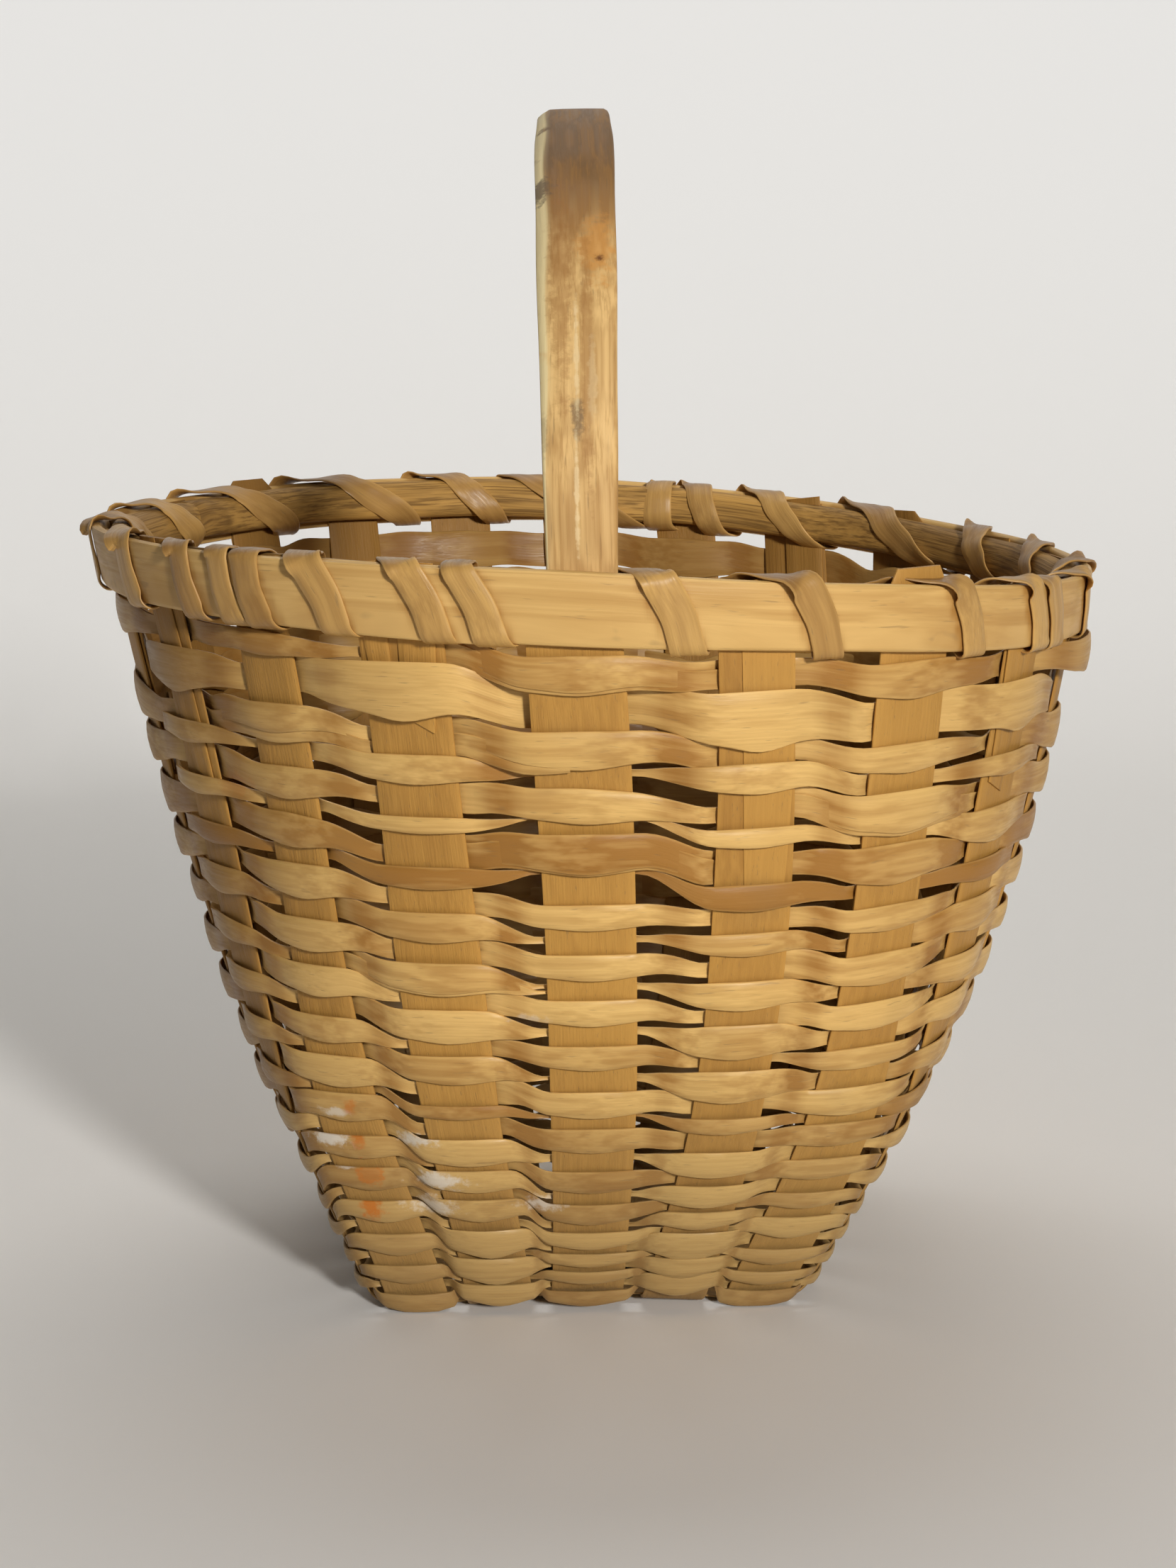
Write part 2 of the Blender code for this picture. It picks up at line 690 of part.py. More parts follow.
def main():
    for item in list(bpy.data.objects):
        bpy.data.objects.remove(item)
    splint_wood = material("splint_wood", (0.46, 0.30, 0.12), 0.62)
    weaver_wood = material("weaver_wood", (0.62, 0.42, 0.18), 0.55)
    hoop_wood = material("hoop_wood", (0.66, 0.46, 0.20), 0.55)
    lashing_wood = material("lashing_wood", (0.56, 0.38, 0.16), 0.5)
    handle_wood = material("handle_wood", (0.60, 0.38, 0.13), 0.5)
    make_splints(splint_wood)
    rows = rows_of_weavers()
    for row in range(len(rows)):
        weaver_row(row, rows, weaver_wood)
    outer_hoop(hoop_wood)
    inner_hoop(hoop_wood)
    lashing(lashing_wood)
    handle(handle_wood)


main()
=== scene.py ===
"""Looks of a woven ash-splint gathering basket: ribbons, hoops, lashing, handle and their woods.

The file is laid out as a Blender add-on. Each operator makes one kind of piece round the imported
frame, in metres, +Z up, +Y to the back, with the origin straight under the rim's centre.
Azimuths run from the front centre towards the right, and a height share t runs from 0 on the
ground to 1 at the rim's top edge.
"""

import math

import bpy
import numpy as np
from bpy.props import FloatProperty, FloatVectorProperty, IntProperty, PointerProperty
from mathutils import Matrix, Vector


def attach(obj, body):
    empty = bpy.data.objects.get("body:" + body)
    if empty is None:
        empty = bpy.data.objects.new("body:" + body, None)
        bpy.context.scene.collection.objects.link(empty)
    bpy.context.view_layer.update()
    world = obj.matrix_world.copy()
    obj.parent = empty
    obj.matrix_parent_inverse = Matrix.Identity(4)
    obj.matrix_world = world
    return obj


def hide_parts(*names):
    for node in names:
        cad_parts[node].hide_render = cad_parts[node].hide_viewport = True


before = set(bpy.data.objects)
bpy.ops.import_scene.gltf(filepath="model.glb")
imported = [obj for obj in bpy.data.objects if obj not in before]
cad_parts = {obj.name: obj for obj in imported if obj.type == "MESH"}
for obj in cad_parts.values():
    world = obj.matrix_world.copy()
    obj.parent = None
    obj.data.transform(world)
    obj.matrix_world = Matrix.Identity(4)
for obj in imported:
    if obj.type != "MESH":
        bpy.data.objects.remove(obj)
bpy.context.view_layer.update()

bl_info = {
    "name": "Splint Basket",
    "version": (1, 0, 0),
    "blender": (4, 5, 0),
    "location": "View3D > Sidebar > Basket",
    "description": "Woven splints, weavers, rim and handle of a gathering basket",
    "category": "Add Mesh",
}

MM = 0.001
TURN = 2 * math.pi
QUARTER = math.pi / 2


# Sizes and colours that a user would change


def length(name, mm, description):
    return FloatProperty(
        name=name, default=mm * MM, description=description, unit="LENGTH", precision=5
    )


def share(name, default, description):
    return FloatProperty(name=name, default=default, description=description, precision=3)


def angle(name, degrees, description):
    turned = math.radians(degrees)
    return FloatProperty(name=name, default=turned, description=description, subtype="ANGLE")


def count(name, default, description):
    return IntProperty(name=name, default=default, description=description, min=0)


def colour(name, default, description):
    return FloatVectorProperty(
        name=name, default=default, description=description, subtype="COLOR", min=0.0, max=1.0
    )


class BasketBody(bpy.types.PropertyGroup):
    """The wall's middle surface, from the square bottom to the round rim."""

    height: length("Body height", 215, "Ground to the rim's mean top edge")
    top_radius: length("Wall radius at the rim", 139.15, "Middle of the uprights")
    base_half: length("Half of the bottom", 62, "Middle of the wall to its middle line")
    flare: share("Flare", 0.65, "How much sooner than evenly the wall widens")
    flare_at_bottom: share("Flare at the bottom", 0.55, "Share of the flare kept there")
    flares_from: share("Flares fully from", 0.3, "Height share")
    squareness: share("Squareness", 4.0, "Added to the exponent 2 of a circle at the bottom")
    lean: length("Lean", 5.4, "How far the bottom stands to the left of the rim")
    sway: length("Sway", 2.9, "How far the middle line bows to the right halfway up")
    drop_right: length("Drop to the right", 18, "Rim height lost from left to right")
    rise_back: length("Rise to the back", 3.5, "Rim height gained from front to back")
    wave: length("Rim wave", 2.8, "Front and back up, both sides down")
    arch: length("Pushed-up bottom", 2, "Height of the bottom's middle lines over its feet")
    arch_fading: share("Arch fading", 6.0, "How soon the wall loses the bottom's arch")


class BasketSplints(bpy.types.PropertyGroup):
    """Base splints, which turn up as the uprights."""

    per_side: count("Uprights per side", 5, "Splints each way in the plaited bottom")
    width: length("Width on the bottom", 18, "Across the splint")
    spacing: length("Spacing", 6, "Between neighbours on the bottom")
    upright_width: length("Width on the wall", 20, "Across an upright, past its lower part")
    thickness: length("Thickness", 1.1, "Through the splint")
    gap: length("Plaiting gap", 0.3, "Between crossing splints")
    bend: length("Bend", 7, "Reach of the round bend from the bottom to the wall")
    wide_from: share("Full width from", 0.6, "Height share")
    faces_out_from: share("Faces outwards from", 0.5, "Height share")
    spread: angle("Spread", 5.75, "Crowding towards one side of the rim")
    spread_at: angle("Spread at", 118.0, "Where the uprights are moved on most")
    pairing: angle("Pairing", 1.75, "Crowding towards two opposite sides")
    pairing_at: angle("Pairing at", 236.0, "Where the pairing is strongest")
    turn: angle("Turn", 1.1, "Of all the uprights at the rim")


class BasketWeavers(bpy.types.PropertyGroup):
    """Separate rings of thin, narrower strip."""

    thickness: length("Thickness", 0.8, "Through a weaver")
    clearance: length("Clearance", 0.12, "Between a weaver and an upright")
    low_pitch: length("Lowest pitch", 3.5, "Row to row at the bottom")
    high_pitch: length("Pitch", 6.8, "Row to row on the wall")
    low_rows: count("Close rows", 4, "Rows at the lowest pitch")
    easing_rows: count("Easing rows", 4, "Rows over which the pitch widens")
    foot_level: length("Bend strip", 3.0, "Height of the narrow strip round the bend")
    first_level: length("First row", 6.6, "Height of the lowest row's middle")
    top_level: length("Top row", 190.7, "Height of the highest row's middle")
    wide_pitch: length("Wide pitch", 9.4, "Room that the wide row needs")
    wide_width: length("Wide row's width", 13.8, "Height of its arcs at the sides and behind")
    top_width: length("Top row's width", 9, "Height of its arcs at the sides and behind")
    bulge: length("Bulge", 0.9, "Middle of an arc over its ends, at the rim")
    low_bulge: length("Bulge at the bottom", 1.7, "The same at the bottom")
    off_ground: length("Off the ground", 0.4, "Least height of a lower edge")
    lens_below: length("Lenses below", 12, "Height under which the arcs end in points")
    proud: length("Proud arc", 4.5, "How far the top row's loose arc on the right stands out")
    overhang: length("Overhang", 0.4, "Run past an upright's edge before it turns in")
    seed: count("Seed", 11, "Of the weavers' irregularities")


class BasketRim(bpy.types.PropertyGroup):
    """Two hoops and the lashing."""

    outer_height: length("Outer hoop in front", 18.5, "Height of the flat hoop")
    outer_height_back: length("Outer hoop behind", 14, "Height of the flat hoop")
    outer_thickness: length("Outer hoop thickness", 3.2, "Through the flat hoop")
    outer_offset: length("Outer hoop offset", 1.35, "Wall's middle to the hoop's back")
    scarf_at: angle("Scarf", -33.4, "Where the outer hoop's inner end starts")
    scarf_length: length("Scarf length", 52, "Lap of the outer hoop's ends")
    scarf_tip: length("Scarf tip", 0.8, "Thickness left at a hoop's end")
    scarf_gap: length("Scarf gap", 0.3, "Between the hoop's lapped ends")
    inner_height: length("Inner hoop", 12, "Height of the half-round hoop")
    inner_thickness: length("Inner hoop thickness", 6, "Through the half-round hoop")
    inner_offset: length("Inner hoop offset", 0.85, "Wall's middle to the flat side")
    inner_below: length("Inner hoop below", 0.8, "Its top under the rim's top edge")
    inner_start: angle("Inner hoop's end", 246.5, "Where its thick end shows")
    inner_lap: length("Inner hoop's lap", 30, "Lap of the inner hoop's ends")
    lashing_width: length("Lashing width", 8.7, "Across the binding strip")
    lashing_thickness: length("Lashing thickness", 0.7, "Through the binding strip")
    lashing_slant: angle("Lashing slant", 1.6, "Half of a turn's travel down the outer face")
    seed: count("Seed", 5, "Of the rim's irregularities")


class BasketHandle(bpy.types.PropertyGroup):
    """Shaved bow whose tails go down between the hoops."""

    rise: length("Rise", 113.8, "Rim to the top of the bow")
    width: length("Width", 20.5, "Across the bow")
    thickness: length("Thickness", 4.6, "Through the bow")
    roundness: share("Roundness", 2.3, "Exponent of the superellipse")
    grip_from: length("Full width from", 84, "Height over the rim")
    tail_width: length("Tail width", 17.6, "At the rim")
    tail_thickness: length("Tail thickness", 3, "At the rim")
    tail_length: length("Tail length", 58, "Below the rim")
    sidestep: length("Sidestep", 3.2, "Tail's lean to the right of its upright at the rim")
    tip_width: length("Tail tip width", 10, "At the tail's end")
    tip_thickness: length("Tail tip thickness", 1.6, "At the tail's end")
    gap: length("Gap", 0.3, "Tail to upright")


class BasketWoods(bpy.types.PropertyGroup):
    """Colours of the woods, of their wear and painted shade, and of the stage."""

    # Each darker colour also paints shade: at tucked ends, towards the sides and on faces that look
    # in.
    weaver: colour("Weavers", (0.78, 0.495, 0.168), "Golden ash")
    weaver_dark: colour("Darker weavers", (0.37, 0.172, 0.036), "Browner strips and ends")
    splint: colour("Splints", (0.54, 0.283, 0.062), "Duller ash")
    splint_dark: colour("Darker splints", (0.36, 0.172, 0.036), "Browner streaks")
    hoop: colour("Outer hoop", (0.84, 0.545, 0.198), "Pale ash")
    hoop_dark: colour("Outer hoop streaks", (0.42, 0.205, 0.048), "Grain lines")
    inner: colour("Inner hoop", (0.62, 0.345, 0.086), "Weathered ash")
    inner_dark: colour("Inner hoop grain", (0.11, 0.052, 0.014), "Open grain lines")
    lashing: colour("Lashing", (0.62, 0.365, 0.112), "Thin ash")
    lashing_dark: colour("Lashing streaks", (0.29, 0.140, 0.034), "Browner streaks")
    handle: colour("Handle", (0.80, 0.52, 0.210), "Handled ash")
    handle_dark: colour("Handle streaks", (0.38, 0.190, 0.055), "Browner streaks")
    handle_pale: colour("Handle edge", (0.90, 0.74, 0.40), "Freshly shaved edge")
    handle_worn: colour("Handle top", (0.150, 0.076, 0.023), "Darkened by hands")
    grime: colour("Grime", (0.20, 0.135, 0.065), "Grey-brown dirt")
    # A dusty colour near the ground, which also paints shade there.
    dust: colour("Dust", (0.215, 0.145, 0.062), "Settled near the ground")
    floor: colour("Floor", (0.86, 0.85, 0.83), "Floor and backdrop")
    light: colour("Lamps", (1.0, 0.975, 0.94), "Slightly warm")
    sky: colour("Sky", (1.0, 0.99, 0.975), "World")


class BasketStage(bpy.types.PropertyGroup):
    """Camera and light."""

    image_width: count("Picture width", 1659, "Pixels")
    image_height: count("Picture height", 2212, "Pixels")
    focal_pixels: share("Focal length", 4200.0, "In pixels of the picture")
    camera_x: length("Camera right", -2.45, "From the origin")
    camera_y: length("Camera back", -865.5, "From the origin")
    camera_z: length("Camera up", 287.7, "From the ground")
    pitch: FloatProperty(
        name="Pitch", default=0.1694, description="Looks down by", subtype="ANGLE"
    )
    roll: FloatProperty(
        name="Roll", default=-0.018, description="Turned about its view", subtype="ANGLE"
    )
    key: share("Key light", 140.0, "Watts of the lamp in front, on the right")
    fill: share("Fill light", 0.2, "Watts of the lamp at the left")
    rim: share("Back light", 9.0, "Watts of the lamp behind")
    backdrop: share("Backdrop light", 17.0, "Watts of the lamp over the backdrop")
    sky: share("Sky light", 0.08, "Strength of the world")
    sky_seen: share("Sky seen", 0.86, "Strength of the world as the camera sees it")
    floor_seen: share("Far floor seen", 0.93, "Strength of the far floor as the camera sees it")


GROUPS = {
    "basket_body": BasketBody, "basket_splints": BasketSplints, "basket_weavers": BasketWeavers,
    "basket_rim": BasketRim, "basket_handle": BasketHandle, "basket_woods": BasketWoods,
    "basket_stage": BasketStage,
}


class Basket:
    """Reads the scene's groups by their short names."""

    def __getattr__(self, name):
        return getattr(bpy.context.scene, "basket_" + name)


BASKET = Basket()


# Shapes shared by all pieces


def smooth(value):
    """Eases from 0 to 1: 3v^2 - 2v^3."""
    value = np.clip(value, 0.0, 1.0)
    return value * value * (3 - 2 * value)


def unit(vectors):
    return vectors / np.linalg.norm(vectors, axis=-1, keepdims=True)


def headings(path):
    return unit(np.gradient(path, axis=0))


def square_to(heading, vectors):
    """Vectors less their part along a heading, of unit length."""
    return unit(vectors - heading * np.sum(vectors * heading, axis=1, keepdims=True))


def mix(one, two, weight):
    return one + (two - one) * weight


def wrapped(turned):
    """Angle brought to between half a turn back and half a turn on."""
    return (turned + math.pi) % TURN - math.pi


def stacked(*columns):
    return np.stack(np.broadcast_arrays(*columns), axis=-1)


def outward(azimuth):
    return stacked(np.sin(azimuth), -np.cos(azimuth), 0.0)


def wobble(along, rng, waves):
    """Sum of sines with random phases. waves lists each one's height and wavelength."""
    return sum(height * np.sin(TURN * (along / wave + rng.random())) for height, wave in waves)


def through(values, steps):
    """Catmull-Rom curve through closed rows of values, with that many steps per span."""
    s = np.arange(steps) / steps
    before, here, there, after = [np.roll(values, by, -1)[..., None] for by in (1, 0, -1, -2)]
    curve = 2 * here + (there - before) * s
    curve = curve + (2 * before - 5 * here + 4 * there - after) * s**2
    curve = curve + (3 * here - before - 3 * there + after) * s**3
    return (curve / 2).reshape(*values.shape[:-1], -1)


def wall_middle(t):
    """Middle line of the wall, lean (t - 1) + 4 sway t (1 - t) off the origin's axis."""
    body = BASKET.body
    return stacked(body.lean * (t - 1) + body.sway * 4 * t * (1 - t), 0.0, 0.0)


def wall_radius(t):
    """Half-size of the wall: from the bottom's half to the rim's radius, sooner by the flare.

    The share of the way is t (1 + flare (1 - t)), with less of the flare near the bottom.
    """
    body = BASKET.body
    eased = mix(body.flare_at_bottom, 1.0, smooth(t / body.flares_from))
    return mix(body.base_half, body.top_radius, t * (1 + body.flare * eased * (1 - t)))


def wall_point(azimuth, t):
    """Superellipse of exponent 2 + squareness (1 - t)^3, and its normal, its gradient."""
    way, t = outward(azimuth), np.asarray(t)
    power = (2 + BASKET.body.squareness * (1 - t) ** 3)[..., None]
    reach = np.sum(np.abs(way) ** power, axis=-1, keepdims=True) ** (-1 / power)
    point = way * reach * wall_radius(t)[..., None] + wall_middle(t)
    return point, unit(np.sign(way) * np.abs(way) ** (power - 1))


def rim_height(azimuth):
    """Rim's top edge: the body height, a tilt to the right and the front, and a wave."""
    body = BASKET.body
    tilt = -body.drop_right * np.sin(azimuth) / 2 - body.rise_back * np.cos(azimuth) / 2
    return body.height + tilt + body.wave * np.cos(2 * azimuth)


def splint_pitch():
    return BASKET.splints.width + BASKET.splints.spacing


def outermost():
    return (BASKET.splints.per_side - 1) / 2 * splint_pitch()


def base_arch(x, y):
    """Roof over the bottom, highest along both middle lines and flat at the four corners."""
    foot = outermost() - splint_pitch() / 2
    roof = np.maximum(0, 1 - np.abs(x) / foot) + np.maximum(0, 1 - np.abs(y) / foot)
    return BASKET.body.arch * roof


def wall_level(azimuth, t):
    """Height over the ground: the share of the rim's height, and the bottom's fading arch."""
    body = BASKET.body
    off_side = (azimuth + QUARTER / 2) % QUARTER - QUARTER / 2
    arch = base_arch(body.base_half * np.tan(off_side), body.base_half)
    return t * rim_height(azimuth) + arch * (1 - np.clip(t, 0, 1)) ** body.arch_fading


def uprights():
    return 4 * BASKET.splints.per_side


def side_and_place(number):
    """Side of the square that an upright stands on, and its distance along that side."""
    per_side = BASKET.splints.per_side
    shifted = (number + per_side // 2) % uprights()
    return shifted // per_side, (shifted % per_side) * splint_pitch() - outermost()


def rim_azimuth(number):
    """Evenly spaced, turned, and crowded together by one wave and by two."""
    s = BASKET.splints
    even = TURN * np.asarray(number) / uprights()
    crowd = s.spread * np.cos(even - s.spread_at) + s.pairing * np.cos(2 * even - s.pairing_at)
    return even + s.turn + crowd


def upright_frame(number, t):
    """Centre, width direction, outward normal and rise of an upright at a height share.

    The azimuth goes evenly from the upright's place on the square to its place on the rim.
    The rise is the upright's own direction, for one unit of height.
    """
    number, t = np.broadcast_arrays(np.asarray(number), np.asarray(t, float))
    side, along = side_and_place(number)
    start = side * QUARTER + np.arctan2(along, BASKET.body.base_half)
    turn = wrapped(rim_azimuth(number) - start)

    def middle(at):
        azimuth = start + turn * at
        point, normal = wall_point(azimuth, at)
        point[..., 2] = wall_level(azimuth, at)
        return point, normal

    centre, normal = middle(t)
    step = 0.004
    rise = middle(t + step)[0] - middle(t - step)[0]
    turned = smooth(t / BASKET.splints.faces_out_from)[..., None]
    normal = unit(mix(outward(side * QUARTER), normal, turned))
    tangent = stacked(-normal[..., 1], normal[..., 0], 0.0)
    return centre, tangent, normal, rise / rise[..., 2:]


# Widths of single uprights at the bend and from halfway up, in millimetres.
WIDTHS = {0: (20.5, 24), 19: (18.5, 23), 1: (17.5, 20.5), 2: (18, 22.5), 18: (18, 18.5),
          17: (18, 18.5), 8: (18, 21.5), 12: (18, 18.5), 14: (18, 21)}


def upright_width(number, t):
    s = BASKET.splints
    low, high = np.full(uprights(), s.width), np.full(uprights(), s.upright_width)
    for each, (at_bend, above) in WIDTHS.items():
        low[each], high[each] = at_bend * MM, above * MM
    return mix(low[number], high[number], smooth(t / s.wide_from))


# Places in the picture

# Points tried along a line of sight or up an upright.
SIGHT_STEPS = 1500


def camera_axes():
    """Camera's place, right, up and forward, from its pitch and roll."""
    stage = BASKET.stage
    pitch, roll = stage.pitch, stage.roll
    forward = Vector((0, math.cos(pitch), -math.sin(pitch)))
    level_up, level_right = Vector((0, math.sin(pitch), math.cos(pitch))), Vector((1, 0, 0))
    right = level_right * math.cos(roll) + level_up * math.sin(roll)
    up = level_up * math.cos(roll) - level_right * math.sin(roll)
    return Vector((stage.camera_x, stage.camera_y, stage.camera_z)), right, up, forward


def camera_ray(column, row, nearest, farthest):
    """Points on the line of sight through a picture column and row."""
    stage = BASKET.stage
    place, right, up, forward = camera_axes()
    ray = forward * stage.focal_pixels
    ray += right * (column - stage.image_width / 2) - up * (row - stage.image_height / 2)
    reach = np.linspace(nearest, farthest, SIGHT_STEPS)[:, None]
    return np.array(place) + np.array(ray.normalized()) * reach


def picture_row(points):
    """Row of the picture that shows each point: how far up it is seen, over how far away."""
    place, _, up, forward = [np.array(axis) for axis in camera_axes()]
    away = points - place
    return BASKET.stage.image_height / 2 - BASKET.stage.focal_pixels * (away @ up) / (away @ forward)


# Ribbons and meshes

# Places of a ribbon's corners: across it from -1 to 1, and through it from back to front.
RIBBON_ACROSS = np.array([-1, -0.93, -0.5, 0, 0.5, 0.93, 1, 1, 0.93, 0.5, 0, -0.5, -0.93, -1])
RIBBON_THROUGH = np.array([0.35, 1, 1, 1, 1, 1, 0.35, -0.35, -1, -1, -1, -1, -1, -0.35])
# Shift of the grain from one strip of a piece to the next, in metres along and across.
GRAIN_SHIFT = np.array([0.37, 0.113])
SHARP_OVER = math.radians(50)


def strip_of(corners, **carried):
    """Rings of corners of a closed strip, and what its surface carries at each corner."""
    shape = corners.shape[:2]
    return {"corners": corners, **{k: np.broadcast_to(v, shape) for k, v in carried.items()}}


def run_along(path):
    """Distance from a path's start to each of its points."""
    return np.append(0, np.cumsum(np.linalg.norm(np.diff(path, axis=0), axis=1)))


def ribbon(centre, up, out, low, high, thick, cup=0.0, tilt=0.0, tone=0.0, tuck=0.0):
    """Flat strip with worn edges carried along a path.

    A corner stands at the path's point, plus up times its place between low and high, plus out
    times its share of the thickness, the cup's parabola and the tilt. All but the path may be
    one value or one for each point of it.
    """
    low, high, thick, cup, tilt, tone, tuck = [
        np.broadcast_to(value, len(centre))[:, None]
        for value in (low, high, thick, cup, tilt, tone, tuck)
    ]
    across = RIBBON_ACROSS
    place = (high - low) / 2 + (high + low) / 2 * across
    depth = RIBBON_THROUGH * thick / 2 + cup * (1 - across**2) + tilt * across
    corners = centre[:, None] + up[:, None] * place[..., None] + out[:, None] * depth[..., None]
    return strip_of(
        corners, along=run_along(centre)[:, None], across=place, edge=np.abs(across),
        tone=tone, tuck=tuck,
    )


def tube_faces(rings, around):
    """Quads of a closed tube of rings, with its ends bridged from one half to the other."""
    ring, corner = np.meshgrid(np.arange(rings - 1) * around, np.arange(around), indexing="ij")
    after = ring + (corner + 1) % around
    here = ring + corner
    sides = np.stack([here, after, after + around, here + around], axis=-1).reshape(-1, 4)
    pair = np.arange(around // 2 - 1)
    cap = np.stack([pair, around - 1 - pair, around - 2 - pair, pair + 1], axis=-1)
    return np.concatenate([sides, cap, cap[:, ::-1] + (rings - 1) * around])


def signed_volume(points, faces):
    a, b, c, d = [points[faces[:, i]] for i in range(4)]
    return np.sum(np.einsum("ij,ij->i", a, np.cross(b, c) + np.cross(c, d)))


def make_piece(name, strips, finish, slot, *nodes):
    """One object of several closed strips, with UVs in metres and the strips' attributes.

    Each strip's faces are turned to point out, and its UVs are moved by their own amount, so
    that no two strips show the same grain.
    """
    points, faces, uvs, start = [], [], [], 0
    for number, strip in enumerate(strips):
        flat = strip["corners"].reshape(-1, 3)
        quads = tube_faces(*strip["corners"].shape[:2])
        if signed_volume(flat, quads) < 0:
            quads = quads[:, ::-1]
        points.append(flat)
        faces.append(quads + start)
        uv = np.stack([strip["along"].ravel(), strip["across"].ravel()], axis=-1)
        uvs.append(uv + GRAIN_SHIFT * number)
        start += len(flat)
    points, faces, uvs = [np.concatenate(part) for part in (points, faces, uvs)]
    mesh = bpy.data.meshes.new(name)
    mesh.from_pydata(points.tolist(), [], faces.tolist())
    layer = mesh.uv_layers.new(name="strip")
    layer.data.foreach_set("uv", uvs[faces.ravel()].astype(np.float32).ravel())
    for key in ("edge", "tone", "tuck"):
        held = mesh.attributes.new(key, "FLOAT", "POINT")
        values = np.concatenate([strip[key].ravel() for strip in strips])
        held.data.foreach_set("value", values.astype(np.float32))
    mesh.shade_smooth()
    mesh.set_sharp_from_angle(angle=SHARP_OVER)
    mesh.materials.append(finish)
    piece = bpy.data.objects.new(name, mesh)
    bpy.context.scene.collection.objects.link(piece)
    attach(piece, "root")
    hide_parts(*nodes)


# Base splints

WALL_STEPS, FLOOR_STEPS, BEND_STEPS, SPLICE_STEPS = 64, 90, 12, 24
# Reach of the bend's tangents, as a share of the way from the wall to the bottom.
BEND_PULL = 0.62
# Height at which a splint has left the bottom's arch.
ARCH_REACH = 12 * MM
# Second layers laid against an upright under the rim: upright, sideways shift at the rim and
# at the lower end, width, length below the rim, layer outside (1) or inside (-1), thickness,
# all in millimetres.
SPLICES = (
    (19, 6, 3, 10.5, 41, 1, 0.7), (19, -7.5, -6, 7, 33, 1, 0.45), (1, 3, 2.6, 14, 84, 1, 0.5),
    (17, -3, 2, 12, 62, 1, 0.7), (3, -5, -3, 11, 58, 1, 0.7), (16, 5, 3, 14, 64, -1, 0.8),
    (13, 4, 0, 14, 60, 1, 0.8), (8, -4, -3, 13, 70, -1, 0.8),
)
# Gap behind a second layer, and length of its slanting cut.
SPLICE_GAP, SPLICE_CUT = 0.1 * MM, 5 * MM
# Upright tips that stand over the rim's top edge, and the mean and spread of the others, in
# millimetres. Over the edge a tip is torn narrower by a share, within a short way.
TALL_TIPS = {2: 4.2, 13: 2.6, 7: 1.2, 17: 0.8}
TIP_LEVEL, TIP_SPREAD = -1.2, 0.5
TORN_SHARE, TORN_WAY = 0.35, 1.5 * MM


def base_splint(first, last, across, lifts, rng):
    """One splint: down the first upright, over the bottom and up the last.

    Over the bottom its level is the plait's lift, eased between one crossing and the next, and
    a quadratic Bezier curve bends it up at each end.
    """
    body, s = BASKET.body, BASKET.splints
    side, along = side_and_place(last)
    lift = (s.thickness + s.gap) / 2
    reach = body.base_half - s.bend
    distance = np.linspace(-reach, reach, FLOOR_STEPS)
    crossing = (distance + outermost()) / splint_pitch()
    before = np.clip(np.floor(crossing).astype(int), -1, len(lifts) - 1)
    level = np.concatenate([[0], lifts, [0]]) * lift
    floor = outward(side * QUARTER) * distance[:, None] + across * along + wall_middle(0.0)
    floor[:, 2] = mix(level[before + 1], level[before + 2], smooth(crossing - before))
    floor[:, 2] += lift + s.thickness / 2
    shares, paths, faced = [], [], []
    for number, edge, inner in ((first, floor[0], floor[1]), (last, floor[-1], floor[-2])):
        tip = TALL_TIPS.get(number, TIP_LEVEL + rng.normal(0, TIP_SPREAD)) * MM
        t = np.linspace(1 + tip / body.height, s.bend / body.height, WALL_STEPS)
        centre, tangent, _, _ = upright_frame(number, t)
        tangent = tangent * np.sign(np.dot(tangent[0], across))
        pull = np.linalg.norm(centre[-1] - edge) * BEND_PULL
        knee = edge + unit(edge - inner) * pull + centre[-1] + unit(centre[-1] - centre[-2]) * pull
        q = np.linspace(0, 1, BEND_STEPS)[1:-1, None]
        bend = centre[-1] * (1 - q) ** 2 + knee * q * (1 - q) + edge * q**2
        shares.append(np.append(t, np.zeros(len(bend))))
        paths.append(np.concatenate([centre, bend]))
        faced.append(np.concatenate([tangent, np.repeat(tangent[-1:], len(bend), 0)]))
    centre = np.concatenate([paths[0], floor, paths[1][::-1]])
    facing = np.concatenate([faced[0], np.repeat(across[None], len(floor), 0), faced[1][::-1]])
    through_it = unit(np.cross(headings(centre), facing))
    t = np.clip(centre[:, 2] / body.height, 0, 1)
    change = smooth((np.arange(len(t)) - WALL_STEPS) / (len(t) - 2 * WALL_STEPS))
    share_up = np.concatenate([shares[0], 0.0 * distance, shares[1][::-1]])
    torn = 1 - TORN_SHARE * smooth((share_up - 1) * body.height / TORN_WAY)
    width = mix(upright_width(first, t), upright_width(last, t), change) * torn
    width = width * (1 + 0.02 * wobble(centre[:, 2], rng, [(1, 0.11)]))
    tone = rng.normal(0, 0.5) + wobble(np.arange(len(t)) / 40, rng, [(0.25, 1.3), (0.15, 0.4)])
    made = ribbon(
        centre, facing, through_it, width / 2, width / 2, s.thickness,
        cup=-0.15 * MM * smooth(t / 0.2), tone=tone, tuck=0.35 * (1 - smooth(t / 0.12)),
    )
    corners = made["corners"]
    fading = 1 - smooth(corners[..., 2] / ARCH_REACH)
    corners[..., 2] += fading * base_arch(corners[..., 0] + body.lean, corners[..., 1])
    return made


